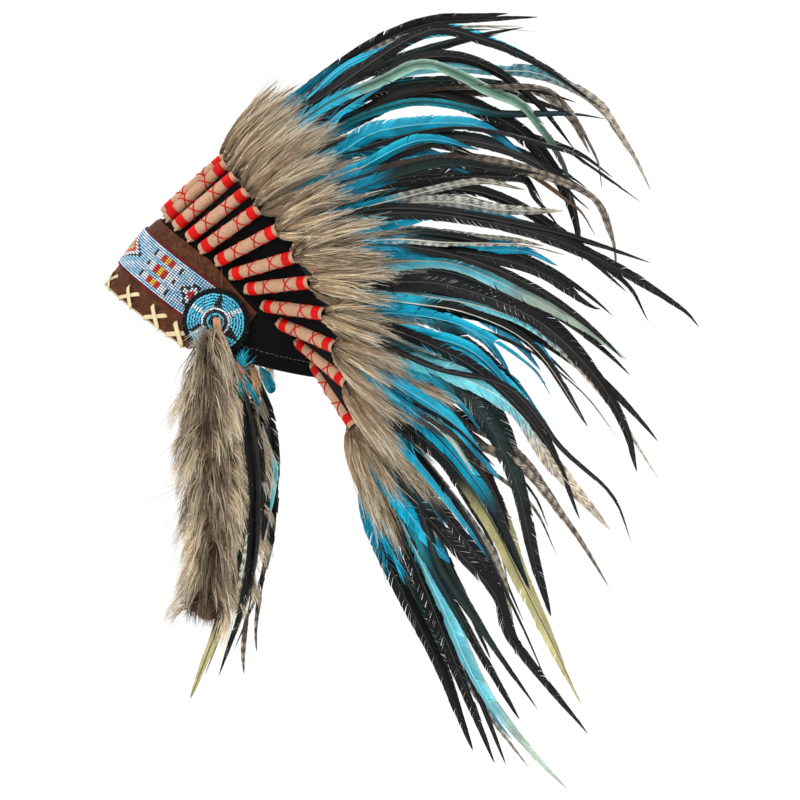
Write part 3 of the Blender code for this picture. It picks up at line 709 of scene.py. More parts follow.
def lock(pile, line, rng):
    """A lock of fur: a soft tapered form along a line, tinted dark as painted shade, under strands that draw
    together at its tip.
    """
    radius = rng.uniform(0.0050, 0.0072)
    tone = rng.uniform(0.25, 1.0)
    count = len(line)
    share = np.linspace(0, 1, count)
    _, side, face = cross_frame(line, unit(rng.normal(0, 1, 3)))
    girth = radius * (0.5 + 0.5 * np.sin(np.minimum(share * 2.8, 1) * math.pi / 2)) * (1 - share ** 1.5)
    girth = np.maximum(girth, radius * 0.02)
    points = line[:, None] + rings(side, face, LOCK_SIDES) * (girth * 0.62)[:, None, None]
    # Painted shade: the form under the strands is tinted dark, darkest at the root, so that the gaps between
    # the strands look shaded
    body = blend(FUR_DEEP_AND_SHADE, blend(FUR_DEEP_AND_SHADE, FUR_DARK, tone), smooth_step(0.0, 0.3, share))
    tint = np.repeat(body * rng.uniform(0.85, 1.1), LOCK_SIDES, axis=0)
    along = (share * steps_along(line)[-1] * 0.3)[:, None]
    grain = np.stack(np.broadcast_arrays(along, around(LOCK_SIDES) * 3, 1.0), -1)
    pile.add(points, lattice(count, LOCK_SIDES, True), tint, grain)
    angle = rng.uniform(0, 2 * math.pi, LOCK_STRANDS)
    rim = np.sqrt(rng.uniform(0.3, 1.0, LOCK_STRANDS)) * radius
    start = rng.uniform(0.0, 0.5, LOCK_STRANDS) ** 1.3
    end = np.clip(start + rng.uniform(0.4, 0.9, LOCK_STRANDS), 0, 1.0)
    wander = rng.normal(0, 1, (LOCK_STRANDS, 3)) * radius * 0.42 * LOCK_SPREAD

    def at(place, out):
        """Points of the strands at shares of the lock's length, at distances out from its middle."""
        index = place * (count - 1)
        low = np.minimum(index.astype(int), count - 2)
        part = (index - low)[:, None]
        middle = line[low] * (1 - part) + line[low + 1] * part
        across = side[low] * np.cos(angle)[:, None] + face[low] * np.sin(angle)[:, None]
        wide = np.interp(place, share, girth / radius)
        return middle + across * (out * wide)[:, None]

    roots = at(start, rim * 0.7)
    bends = at((start + end) / 2, rim * 1.1 * LOCK_SPREAD)
    bends = bends + rng.normal(0, 1, (LOCK_STRANDS, 3)) * radius * 0.22
    tips = at(end, rim * 0.9 * LOCK_SPREAD) + wander * (0.4 + end[:, None])
    light = np.clip(rng.normal(tone, 0.34, LOCK_STRANDS), 0, 1)
    base = blend(FUR_DARK, FUR_MIDDLE, light)
    middle = blend(FUR_DARK, FUR_MIDDLE, np.clip(light + 0.25, 0, 1))
    tip = blend(FUR_MIDDLE, FUR_LIGHT, np.clip(light * 1.3, 0, 1))
    dark = rng.random(LOCK_STRANDS) < 0.20
    tip[dark] = blend(FUR_DEEP_AND_SHADE, FUR_DARK, rng.random(dark.sum()))
    middle[dark] = tip[dark]
    ribbons(pile, roots, bends, tips, rng.uniform(0.0004, 0.0008, LOCK_STRANDS), base, middle, tip, rng)


# Feathers that follow the part's own limbs: share of the plume's length, turn in degrees, and kinds to take
PLAIN_FEATHERS = (
    (0.97, 1.0, ("black", "green", "black")),
    (0.62, -9.0, ("blue", "blue", "pale")),
    (0.77, 6.0, ("inked", "blue", "teal")),
)
FEWEST_FEATHERS = 5
FRONT_PLUMES = 4
# Share of the far side's feathers that change their kind, and the kinds that they take
FAR_CHANGED = 0.3
FAR_KINDS = ("black", "blue", "green", "black")
LOCKS_ACROSS = 6
LOCK_LAYERS = 3


def plain_feather(vanes, quills, plume, length, turn, kinds, rng):
    """A feather on the way of the part's own limb; those of the front plumes are lower and shorter."""
    front = plume["k"] < FRONT_PLUMES
    near = plume["side"] > 0
    length = PLUME_LENGTH * REACHES[plume["k"]] * length * (1.0 if near else 0.95) * rng.uniform(0.95, 1.02)
    turn = math.radians(turn + rng.normal(0, 1.0)) - math.radians(5 if front else 0)
    line = growth(plume, length * (0.95 if front else 1.0), turn, rng.normal(0, 0.02))
    inward = np.array([plume["side"] * rng.uniform(0.003, 0.008), 0, 0])
    line = line - inward * np.linspace(0, 1, len(line))[:, None]
    feather(vanes, quills, line, rng.uniform(0.008, 0.012), kinds[rng.integers(len(kinds))], rng)


def build_fan():
    """Fur and feathers of every plume; the far side has the near side's feathers, changed a little."""
    rng = np.random.default_rng(11)
    for row in FEATHER_ROWS:
        choose_plume(row[2:])["routes"].append(row)
    for plume in plumes:
        partner = plumes[plume["k"]]
        far = plume is not partner
        vanes, quills, fur = Pile(), Pile(), Pile()
        for kind, width, *way in partner["routes"]:
            line = world_route(partner, way, far, rng)
            if far and rng.random() < FAR_CHANGED:
                kind = FAR_KINDS[rng.integers(len(FAR_KINDS))]
            feather(vanes, quills, line, width * PIXEL * rng.uniform(0.86, 1.02), kind, rng)
        for row in PLAIN_FEATHERS[:max(0, FEWEST_FEATHERS - len(partner["routes"]))]:
            plain_feather(vanes, quills, plume, *row, rng)
        lateral = unit(np.array([0.0, -plume["axis"][2], plume["axis"][1]]))
        for k in range(LOCKS_ACROSS * LOCK_LAYERS):
            place = (k % LOCKS_ACROSS - 2.5) / 2.5
            layer = k // LOCKS_ACROSS - 1
            turn = math.radians(19 * place + rng.normal(0, 5.5))
            flare = math.radians(11 * layer + rng.normal(0, 5))
            length = FUR_LENGTHS[plume["k"]] * rng.uniform(0.80, 1.25)
            start = plume["axis"] * rng.uniform(-0.003, 0.006) + lateral * place * 0.0038
            start = start + rng.normal(0, 0.001, 3)
            lock(fur, fur_line(plume, length, turn, flare, start), rng)
        label = plume["label"]
        fur.make(f"fur_{label}", fur_material, "fur_beige", [f"plume_{label}"])
        vanes.make(f"feathers_{label}", vane_material, "feather_blue", [f"plume_{label}"])
        quills.make(f"quills_{label}", quill_material, "feather_blue", [f"plume_{label}"])


build_fan()


# Wraps: felt tubes with bound ends and crossed threads

FELT_TAN = srgb(206, 166, 138)
THREAD_RED = srgb(226, 16, 8)
THREAD_DARK = srgb(208, 14, 6)
BAND_PLACES = ((0.0045, 0.0130), (0.0610, 0.0695))
BAND_TURNS = 8
WRAP_SIDES = 20
SEAM_STEP = 0.00035
# A tube from its lower end to its upper: place, share of the radius and painted shade of the felt, a little
# darker on the rolled lower end and much darker inside the upper rim
TUBE_ROWS = np.array(
    [(0.0012, 0.42, 0.9), (0.0004, 0.70, 0.9), (0.0, 0.84, 0.9), (0.0006, 0.94, 0.9)]
    + [(place, 1.0, 1.0) for place in np.linspace(0.0018, WRAP_LENGTH - 0.0018, 20)]
    + [(WRAP_LENGTH - 0.0006, 1.03, 1.0), (WRAP_LENGTH, 0.98, 1.0)]
    + [(WRAP_LENGTH - 0.0006, 0.84, 0.45), (WRAP_LENGTH - 0.003, 0.7, 0.45)]
)
# Felt tab under a tube's lower end: place, turn, distance from the middle and half width
TAB_ROWS = (
    (0.004, 0.6, 0.0048, 0.0022), (0.001, 0.6, 0.0050, 0.0021),
    (-0.0008, 0.65, 0.0042, 0.0016), (-0.0018, 0.7, 0.0036, 0.0009),
)


def tube_frame(plume):
    """Directions across a tube, the first away from the middle of the head."""
    out = plume["middle"] * np.array([1, 0, 0]) + np.array([plume["side"] * 0.03, 0, 0.02])
    out = unit(out - plume["axis"] * out.dot(plume["axis"]))
    return out, np.cross(plume["axis"], out)


def around_tube(plume, place, turn, radius):
    """Points round a tube at distances from its lower end."""
    out, other = tube_frame(plume)
    place, turn, radius = np.broadcast_arrays(place, turn, radius)
    return (
        plume["low"] + plume["axis"] * place[..., None]
        + out * (radius * np.cos(turn))[..., None] + other * (radius * np.sin(turn))[..., None]
    )


def tube_radius(place):
    """Radius along a wrap: drawn in under each band, and a little full in the middle."""
    middle = 1 - ((place - WRAP_LENGTH / 2) / (WRAP_LENGTH / 2)) ** 2
    drawn = sum(np.exp(-((place - (low + high) / 2) / 0.0048) ** 2) for low, high in BAND_PLACES)
    return WRAP_RADIUS * (0.985 + 0.05 * middle - 0.045 * drawn)


def wrap_felt(plume, rng):
    turns = around(WRAP_SIDES)
    places, shares, shades = TUBE_ROWS.T
    seam = rng.uniform(2.2, 4.0)
    step = SEAM_STEP * ((turns - seam) % (2 * math.pi)) / (2 * math.pi)
    points = around_tube(plume, places[:, None], turns, (tube_radius(places) * shares)[:, None] - step)
    # The felt's tint carries each row's painted shade
    tint = np.repeat(FELT_TAN * rng.uniform(0.93, 1.05) * shades[:, None], WRAP_SIDES, axis=0)
    pile = Pile()
    pile.add(points, lattice(len(places), WRAP_SIDES, True), tint)
    tab = np.array([around_tube(plume, *row[:3]) for row in TAB_ROWS])
    # The tab under the tube's lower end is painted a little darker than the tube, as shade
    tube(pile, tab, [row[3] for row in TAB_ROWS], 6, FELT_TAN * 0.95, (0, 1, 0.2), 0.4)
    return pile


def wrap_thread(plume, rng):
    """Two bands of close turns, each with a loose end across it, and two threads that cross between them."""
    turns = around(WRAP_SIDES)
    fine = np.linspace(0, BAND_TURNS, BAND_TURNS * 2 + 1)
    ridge = 0.00026 * np.abs(np.sin(math.pi * fine)) + 0.00026
    ridge[[0, -1]] = -0.0002
    pile = Pile()
    for low, high in BAND_PLACES:
        place = low + (high - low) * fine / BAND_TURNS
        skew = 0.0003 * np.sin(turns + rng.uniform(0, 6))
        points = around_tube(plume, place[:, None] + skew, turns, (tube_radius(place) + ridge)[:, None])
        hue = np.repeat(THREAD_RED * rng.uniform(0.85, 1.1, (len(fine), 1)), WRAP_SIDES, axis=0)
        pile.add(points, lattice(len(fine), WRAP_SIDES, True), hue)
        loose = np.linspace(0, 1, 12)
        turn = rng.uniform(-1, 1) + 0.5 * loose
        path = around_tube(plume, low + (high - low) * loose, turn, tube_radius(low) + 0.0006)
        tube(pile, path, 0.00022, 4, THREAD_RED * 1.05)
    low, high = BAND_PLACES[0][1], BAND_PLACES[1][0]
    share = np.linspace(0, 1, 44)
    place = low + (high - low) * share
    for hand in (-1, 1):
        turn = hand * (share - 0.25) * 4 * math.pi + 0.1 * np.sin(share * 9 + rng.uniform(0, 6))
        tube(pile, around_tube(plume, place, turn, tube_radius(place) + 0.0001), 0.00062, 5, THREAD_DARK)
    return pile


def build_wraps():
    rng = np.random.default_rng(5)
    values = {"Roughness": 0.92, "Sheen_Weight": 0.08, "Sheen_Roughness": 0.5, "Specular_IOR_Level": 0.2}
    felt = Surface("wrap_felt", **values)
    fibres = felt.noise(felt.place(), 1400.0, 4.0, 0.7)
    patches = felt.noise(felt.place(), 260.0, 2.0)
    tone = felt.speckle(fibres, 0.35, 0.68, (0.52, 0.44, 0.39), (1.14, 1.12, 1.10))
    felt.colour(felt.cloud(tone, patches, 0.3, 0.7, (0.9, 0.88, 0.86), 1.04))
    felt.bump(fibres, 0.5, 0.0004)
    for plume in plumes:
        label = plume["label"]
        wrap_felt(plume, rng).make(f"wrap_felt_{label}", felt.material, "wrap_tan", [f"wrap_{label}"])
        wrap_thread(plume, rng).make(f"wrap_thread_{label}", thread_material, "wrap_tan", [f"wrap_{label}"])


build_wraps()


# Beads

# Half a barrel with a hole, lying on its cut side: place along it and share of its radius
BEAD_RINGS = ((-0.47, 0.48), (-0.40, 0.86), (0.0, 1.0), (0.40, 0.86), (0.47, 0.48))
BEAD_TURNS = np.radians(np.linspace(-25, 205, 6))
BEAD_BLACK = srgb(16, 16, 18)
BEAD_WHITE = srgb(232, 236, 242)
BEAD_PALE = srgb(138, 196, 228)
BEAD_RED = srgb(214, 16, 12)
BEAD_YELLOW = srgb(250, 196, 20)
BEAD_GREEN = srgb(40, 160, 130)
BEAD_TURQUOISE = srgb(84, 200, 230)
COLUMN_PITCH = 0.00254
ROW_COUNT = 18
MIDDLE_ROW = (ROW_COUNT - 1) / 2


def lay_beads(pile, centres, axes, ups, length, radius, tints, rng):
    """One bead for each centre, lying along its axis."""
    shape = np.array([
        (place * length, *share * radius * np.array([math.cos(turn), math.sin(turn)]))
        for place, share in BEAD_RINGS for turn in BEAD_TURNS
    ])
    axes = unit(axes + rng.normal(0, 0.03, axes.shape))
    sides = unit(np.cross(ups, axes))
    ups = unit(np.cross(axes, sides))
    local = shape * (1 + rng.normal(0, 0.03, (len(centres), 1, 1)))
    points = (
        centres[:, None] + axes[:, None] * local[..., 0:1] + sides[:, None] * local[..., 1:2]
        + ups[:, None] * local[..., 2:3]
    )
    tint = np.repeat((tints * (1 + rng.normal(0, 0.05, (len(centres), 1))))[:, None], len(shape), axis=1)
    pile.many(points, lattice(len(BEAD_RINGS), len(BEAD_TURNS)), np.clip(tint, 0, 1))


def bead_surface():
    glass = Surface("glass_bead", Specular_IOR_Level=0.6, Coat_Weight=0.5, Coat_Roughness=0.08)
    cloud = glass.noise(glass.place(), 900.0, 2.0)
    glass.colour(glass.cloud(glass.tint(), cloud, 0.3, 0.7, (0.86, 0.88, 0.9), 1.05))
    glass.rough(cloud, 0.12, 0.3)
    return glass.material


# Woven diamond: least distance in from its edge, in columns, and colour
DIAMOND_RINGS = ((11.0, BEAD_GREEN), (8.0, BEAD_YELLOW), (5.0, BEAD_RED), (1.4, BEAD_WHITE), (0, BEAD_BLACK))


def strip_chart(column, row):
    """Colour of a woven bead: a diamond on the brow, three stepped crosses and a flower on each side."""
    column = abs(column)
    off = row - MIDDLE_ROW
    diamond = 17 - column - abs(off) * 1.9
    for least, shade in DIAMOND_RINGS:
        if diamond > least:
            return shade
    along = abs(column - 28.5)
    for middle, tall in ((3, 0), (8.5, 0.5), (14, 0)):
        up = abs(row - middle)
        if along < 7 and up < 1.3 + tall:
            if along > 6:
                return BEAD_BLACK if up < 1.2 - tall else None
            return BEAD_WHITE if along > 3 else BEAD_RED if along > 1 else BEAD_YELLOW
    reach = math.hypot(column - 43, off * 0.9)
    petal = 2.9 + 0.8 * math.cos(4 * math.atan2(off, column - 43))
    for most, shade in ((1.6, BEAD_RED), (petal, BEAD_WHITE), (petal + 1.0, BEAD_BLACK)):
        if reach < most:
            return shade
    return None


def strip_middle(distance):
    return STRIP_FRONT_MIDDLE + STRIP_SLOPE * np.abs(distance)


def strip_centres(distance, up, proud):
    return crown(brow_angle(distance), strip_middle(distance) + STRIP_WIDTH * up, proud)


def strip_frame(distance, up, proud):
    """Centres on the strip with the direction across it and the one out of it."""
    centre = strip_centres(distance, up, proud)
    across = unit(strip_centres(distance, up + 0.01, proud) - strip_centres(distance, up - 0.01, proud))
    return centre, across, unit(strip_centres(distance, up, proud + 0.001) - centre)


def build_strip(glass):
    rng = np.random.default_rng(3)
    half = int(ROSETTE_DISTANCE / COLUMN_PITCH)
    places = []
    tints = []
    for column in range(-half, half + 1):
        for row in range(ROW_COUNT):
            distance = abs(column) * COLUMN_PITCH
            height = strip_middle(distance) + STRIP_WIDTH * ((row + 0.5) / ROW_COUNT - 0.5)
            if math.hypot(ROSETTE_DISTANCE - distance, height - ROSETTE_HEIGHT) < ROSETTE_RADIUS - 0.002:
                continue
            shade = strip_chart(column, row)
            if shade is None:
                stripe = (abs(column) + abs(row - MIDDLE_ROW) * 1.9 - 17) % 12
                pale = rng.normal(0.95 if stripe < 5 else 0.45, 0.25)
                shade = blend(BEAD_WHITE, BEAD_PALE, min(max(pale, 0), 1))
            places.append((column, row))
            tints.append(shade)
    columns, rows = np.array(places).T
    distance = columns * COLUMN_PITCH + rng.normal(0, 0.00006, len(columns))
    up = (rows + 0.5) / ROW_COUNT - 0.5 + rng.normal(0, 0.001, len(rows))
    centre, across, out = strip_frame(distance, up * 0.97, 0.0037)
    beads = Pile()
    lay_beads(beads, centre, across, out, 0.00168, 0.00114, np.array(tints), rng)
    beads.make("strip_beads", glass, "bead_blue", ["bead_strip"])
    cloth = Pile()
    distance = np.linspace(-ROSETTE_DISTANCE, ROSETTE_DISTANCE, 140)
    proud = np.full((140, 8), 0.0034)
    proud[:, (0, -1)] = 0.0029
    points = strip_centres(distance[:, None], np.linspace(-0.505, 0.505, 8), proud)
    cloth.add(points, lattice(140, 8), srgb(20, 20, 26))
    for edge in (-0.512, 0.512):
        path = strip_centres(distance, edge, 0.0038 + 0.0003 * np.sin(np.arange(140) * 2.2))
        tube(cloth, path, 0.0007, 5, srgb(128, 20, 28))
    for row in range(1, ROW_COUNT):
        path = strip_centres(distance, (row / ROW_COUNT - 0.5) * 0.97, 0.0044)
        tube(cloth, path[::2], 0.00016, 3, srgb(30, 30, 40), ends=False)
    cloth.make("strip_threads", thread_material, "bead_blue", ["bead_strip"])


# Rings of a rosette from its middle: radius in metres and colour
RING_ROWS = (
    (0.0018, "black"), (0.0041, "black"), (0.0065, "turquoise"), (0.0088, "black"), (0.0112, "white"),
    (0.0136, "pattern"), (0.0160, "pattern"), (0.0184, "pattern"), (0.0208, "pattern"), (0.0231, "pattern"),
)
RING_SHADES = {"black": BEAD_BLACK, "turquoise": BEAD_TURQUOISE, "white": BEAD_WHITE}
# Black wedge in each of the five outer rings, in degrees before and after its middle, and half the white step
WEDGE_ROWS = ((-17, 13, 9), (-14, 9, 8), (-11, 5, 6), (-8, 2, 5), (-6, -1, 3))
WEDGE_MIDDLES = (-2, 118, 238)
# Felt of a rosette from its middle to its back edge, and a stitch over its edge: radius and distance proud
BACKING_ROWS = (
    (0.001, 0.0072), (0.010, 0.0072), (0.020, 0.0072), (0.0264, 0.0073), (0.0281, 0.0070),
    (ROSETTE_RADIUS, 0.0064), (ROSETTE_RADIUS, 0.0056), (0.027, 0.0053),
)
STITCH_ROWS = (
    (0.0258, 0.0072), (0.0270, 0.0079), (0.0281, 0.0078), (ROSETTE_RADIUS + 0.0003, 0.0068),
    (ROSETTE_RADIUS + 0.0002, 0.0056),
)
STITCH_COUNT = 44


def rosette_points(side, radius, turn, proud):
    """Points on a rosette by polar places round its middle, which follow the crown."""
    distance = side * (ROSETTE_DISTANCE + radius * np.cos(turn))
    return crown(brow_angle(distance), ROSETTE_HEIGHT + radius * np.sin(turn), proud)


def ring_chart(number, turn):
    """Colour in the five outer rings: three stepped black wedges, white steps between them, and turquoise."""
    before, after, half = WEDGE_ROWS[number - 5]
    for middle in WEDGE_MIDDLES:
        off = math.degrees(turn) - middle
        if before < (off + 180) % 360 - 180 < after:
            return BEAD_BLACK
        if abs((off - 62 + 180) % 360 - 180) < half:
            return BEAD_WHITE
    return BEAD_TURQUOISE


def rosette_felt(side, rng):
    backing = Pile()
    radii, proud = np.array(BACKING_ROWS).T
    points = rosette_points(side, radii[:, None], around(72), proud[:, None])
    backing.add(points, lattice(len(radii), 72, True), srgb(24, 24, 26))
    radii, proud = np.array(STITCH_ROWS).T
    for k in range(STITCH_COUNT):
        turn = 2 * math.pi * (k + rng.uniform(-0.15, 0.15)) / STITCH_COUNT
        path = rosette_points(side, radii, turn + np.linspace(0, 0.05, 5), proud)
        tube(backing, path, 0.00024, 4, srgb(30, 30, 33) if rng.random() < 0.85 else srgb(104, 100, 94))
    return backing


def build_rosettes(glass, felt):
    for side, word in ((1, "left"), (-1, "right")):
        rng = np.random.default_rng(21 + side)
        rosette_felt(side, rng).make(f"rosette_felt_{word}", felt, "felt_black", [f"rosette_{word}"])
        beads = Pile()
        for number, (radius, shade) in enumerate(RING_ROWS):
            count = int(round(2 * math.pi * radius / 0.00172))
            turn = (np.arange(count) + rng.uniform(0, 1)) * 2 * math.pi / count
            radius = radius + rng.normal(0, 0.00006, count)
            centre, above = (rosette_points(side, radius, turn, proud) for proud in (0.0077, 0.0087))
            before, after = (rosette_points(side, radius, turn + step, 0.0077) for step in (-0.01, 0.01))
            tints = [ring_chart(number, t) if shade == "pattern" else RING_SHADES[shade] for t in turn]
            lay_beads(beads, centre, after - before, above - centre, 0.00164, 0.00116, np.array(tints), rng)
        beads.make(f"rosette_beads_{word}", glass, "rosette_blue", [f"rosette_{word}"])


# Brow band, cap and the web behind the tubes

BAND_END_ANGLE = math.radians(98)
BAND_HEIGHT = 0.073
LEATHER = srgb(80, 42, 21)
CREAM = srgb(236, 218, 170)
FELT_BLACK = srgb(15, 15, 17)
CROSS_PLACES = (-0.119, -0.0935, -0.0585, -0.0185, 0.0185, 0.0585, 0.0935, 0.119)
CROSS_REACH = 0.0082
LACE_WIDTH = 0.0044
LACE_THICKNESS = 0.0007
# A lace on its way round the band's lower edge: height and distance proud of the cap
LACE_UNDER = (
    (-0.0004, BAND_OUTER + 0.0007), (-0.0014, BAND_OUTER - 0.0004), (-0.0014, BAND_INNER - 0.0005),
    (0.0004, BAND_INNER - 0.0010),
)
# Seam at the band's end: distance round the brow and height at its top and its bottom
SEAM_ENDS = ((0.1155, 0.0728), (0.1330, 0.052))
# Rim of the cap from outside to inside: distance above the rim and distance proud
CAP_LIPS = ((0.0, 0.0005), (-0.0006, 0.0003), (-0.0009, -0.0009), (-0.0006, -0.0022), (0.0, -0.0021))
CAP_WALL = 0.002
CAP_STITCHES = 150


def band_edges(angle):
    """Lower and upper edge of the brow band at an angle from the brow's middle."""
    past_lower = np.clip((np.abs(angle) - math.radians(82)) / math.radians(16), 0, 1)
    past_upper = np.clip((np.abs(angle) - math.radians(66)) / math.radians(32), 0, 1)
    return 0.046 * past_lower, BAND_HEIGHT - 0.013 * past_upper


def suede_surface():
    suede = Surface("brow_suede", Roughness=0.8, Specular_IOR_Level=0.2)
    grain = suede.noise(suede.place(), 700.0, 4.0, 0.65)
    patches = suede.noise(suede.place(), 120.0, 6.0, 0.75)
    tone = suede.speckle(patches, 0.36, 0.66, (0.44, 0.40, 0.34), (1.5, 1.45, 1.35))
    scratch = suede.ramp(suede.noise(suede.place((30, 300, 300)), 1.4, 3.0), 0.62, 0.70)
    tone = suede.mix(suede.span(scratch, 0.0, 0.35), tone, (0.30, 0.17, 0.11, 1))
    suede.colour(suede.cloud(tone, grain, 0.3, 0.7, 0.62, 1.25))
    suede.rough(grain, 0.62, 0.9)
    suede.bump(grain, 0.35, 0.0004)
    return suede.material


def band_body():
    """Both faces of the band, with a painted highlight that makes them paler at their edges and low in front,
    and the cut edges between them, painted paler still as a highlight.
    """
    band = Pile()
    columns, rows = 150, 26
    angle = np.linspace(-BAND_END_ANGLE, BAND_END_ANGLE, columns)
    lower, upper = band_edges(angle)
    up = np.linspace(0, 1, rows)
    height = lower[:, None] + (upper - lower)[:, None] * up
    ease = np.minimum(np.minimum(up, 1 - up) / 0.03, 1) ** 0.5
    wave = 0.00018 * np.sin(angle * 23)[:, None] * np.sin(up * 9 + 1)
    # Painted highlight: the faces are made paler near their top and bottom edges and low on the brow's front
    edge = smooth_step(0.965, 1.0, np.maximum(up, 1 - up))
    front = smooth_step(0.34, 0.26, np.abs(angle))[:, None] * smooth_step(0.30, 0.22, up)
    tint = LEATHER * (1 + 0.5 * edge + 0.75 * front)[..., None]
    for proud, sway in ((BAND_OUTER, wave), (BAND_INNER, 0)):
        lift = BAND_INNER + (proud - BAND_INNER) * (0.55 + 0.45 * ease) + sway
        band.add(crown(angle[:, None], height, lift), lattice(columns, rows), tint)
    # The cut edges are painted paler still, as a highlight
    low, middle, high = BAND_INNER, BAND_INNER + 0.0011, BAND_OUTER
    for row in (0, rows - 1):
        rim = np.stack([crown(angle, height[:, row], proud) for proud in (low, middle)], 1)
        band.add(rim, lattice(columns, 2), LEATHER * 1.7)
    for column in (0, columns - 1):
        rim = np.stack([crown(angle[column], height[column], proud) for proud in (low, high)], 1)
        band.add(rim, lattice(rows, 2), LEATHER * 1.6)
    return band


def flat_lace(pile, path, width, tint, rng):
    """A flat lace along a path, with rounded edges and a slight sway."""
    out = unit(np.mean(path, axis=0) - np.array([0, 0.02, 0.0]))
    sway = 1 + rng.normal(0, 0.04, len(path))
    tube(pile, path, width / 2 * sway, 8, tint, out, LACE_THICKNESS / width * 1.6)


def band_lacing():
    """Crossed laces along the band's lower edge, two twisted cords on the edge, and the seams at its ends."""
    rng = np.random.default_rng(8)
    lace = Pile()
    share = np.linspace(-1, 1, 15)
    for middle in CROSS_PLACES:
        for hand in (-1, 1):
            distance = middle + hand * share * CROSS_REACH + rng.normal(0, 0.0005)
            over = 0.0009 * (1 - share ** 2) * (hand + 1) / 2
            lift = 0.0008 + over - 0.0012 * smooth_step(-0.8, -1.0, share)
            path = crown(brow_angle(distance), 0.0062 - share * 0.0066, BAND_OUTER + lift)
            flat_lace(lace, path, LACE_WIDTH, CREAM * rng.uniform(0.9, 1.05), rng)
            # The part of each lace that goes under the band's edge is painted darker, as shade
            under = crown(brow_angle(middle + hand * CROSS_REACH), *np.array(LACE_UNDER).T)
            flat_lace(lace, curve_through(under, 8), LACE_WIDTH - 0.0008, CREAM * 0.9, rng)
    distance = np.linspace(-0.130, 0.130, 200)
    for shift in (0, math.pi):
        turn = distance * 900 + shift
        height, proud = -0.0008 + 0.0005 * np.sin(turn), BAND_OUTER - 0.0004 + 0.0005 * np.cos(turn)
        tube(lace, crown(brow_angle(distance), height, proud), 0.00042, 5, CREAM * 0.85)
    distances, heights = np.array(SEAM_ENDS).T
    along = np.linspace(*distances, 16)
    for side in (-1, 1):
        for shift in (0.0, 0.0006):
            angle = brow_angle(side * (along + shift))
            path = crown(angle, np.interp(along, distances, heights), BAND_OUTER + 0.0001)
            tube(lace, path, 0.00018, 4, srgb(132, 96, 72))
    return lace


def build_band(thread):
    band_body().make("band_suede", suede_surface(), "suede_brown", ["brow_band"])
    band_lacing().make("band_lacing", thread, "suede_brown", ["brow_band"])


def cap_rim(angle):
    """Height of the cap's rim at an angle from the brow's middle: it climbs towards the nape."""
    climb = np.maximum(-np.cos(angle) + 0.55, 0) / 1.55
    return 0.002 + 0.048 * climb ** 1.6


def cap_surface():
    values = {"Roughness": 0.95, "Sheen_Weight": 0.04, "Sheen_Roughness": 0.55, "Specular_IOR_Level": 0.1}
    felt = Surface("cap_felt", **values)
    felt.shader.inputs["Sheen Tint"].default_value = (0.35, 0.38, 0.42, 1)
    fibres = felt.noise(felt.place(), 1100.0, 4.0, 0.7)
    loops = felt.noise(felt.place(), 320.0, 2.0)
    felt.colour(felt.speckle(fibres, 0.38, 0.72, (0.35, 0.35, 0.35), (1.6, 1.6, 1.6)))
    felt.bump(loops, 0.6, 0.0007)
    return felt.material


def cap_body():
    cap = Pile()
    columns, rows = 120, 44
    angle = around(columns)
    rim = cap_rim(angle)
    start = np.arcsin((rim / CROWN_HEIGHT) ** 2)
    turn = start[:, None] + (math.pi / 2 - 0.02 - start)[:, None] * np.linspace(0, 1, rows) ** 0.85
    height = CROWN_HEIGHT * np.sin(turn) ** 0.5
    hem = 0.0007 * smooth_step(0.012, 0.010, height - rim[:, None])
    for proud, lift in ((0.0, hem - 0.0001), (-CAP_WALL, 0.0001)):
        points = crown(angle[:, None], height, proud + lift)
        cap.add(points.transpose(1, 0, 2), lattice(rows, columns, True), FELT_BLACK)
        ring = points[:, -1]
        top = blend(ring, crown(0.0, CROWN_HEIGHT, proud), np.full(columns, 0.999))
        cap.add(np.stack([ring, top]), lattice(2, columns, True), FELT_BLACK)
    # The rolled rim is painted a little paler than the felt, as a highlight
    lips = [crown(angle, rim + offset, proud) for offset, proud in CAP_LIPS]
    cap.add(np.stack(lips), lattice(len(lips), columns, True), FELT_BLACK * 1.1)
    return cap


def painted_shade_web():
    """Felt behind the tubes, from the nape round the brow to the nape again, painted far darker than the cap
    as the shade between the tubes.
    """
    web = Pile()
    lows, highs = [], []
    for plume in plumes[:PLUMES_A_SIDE - 1:-1] + plumes[:PLUMES_A_SIDE]:
        out, _ = tube_frame(plume)
        lows.append(plume["low"] + plume["axis"] * 0.008 - out * 0.0048)
        highs.append(plume["high"] - plume["axis"] * 0.0045 - out * 0.0030)
    low, high = (curve_through(np.array(edge), 300)[:, None] for edge in (lows, highs))
    share = np.linspace(0, 1, 9)[:, None]
    ruffle = 0.0006 * np.sin(np.arange(300) * 1.3)[:, None, None] * share * np.array([1, 0, 0.2])
    # Painted shade: the web is tinted at 0.3 of the cap's black
    web.add(low * (1 - share) + high * share + ruffle, lattice(300, 9), FELT_BLACK * 0.3)
    return web


def build_cap(thread):
    felt = cap_surface()
    cap_body().make("cap_felt", felt, "felt_black", ["cap"])
    stitch = Pile()
    for k in range(CAP_STITCHES):
        middle = 2 * math.pi * k / CAP_STITCHES
        if abs(middle - math.pi) <= math.radians(84):
            turns = np.linspace(middle - 0.013, middle + 0.013, 5)
            height = cap_rim(turns) + 0.0128 + 0.0002 * np.sin(k * 2.0)
            path = crown(turns, height, 0.0004 + 0.0003 * np.array([0, 1, 1.2, 1, 0]))
            tube(stitch, path, 0.00028, 4, srgb(120, 120, 122))
    stitch.make("cap_stitches", thread, "felt_black", ["cap"])
    painted_shade_web().make("painted_shade_web", felt, "felt_black", ["cap"])
    return felt


# Drops at the temples

# Distance of the face that the drops lie on from the middle of the head
DROP_FACE = 0.0875
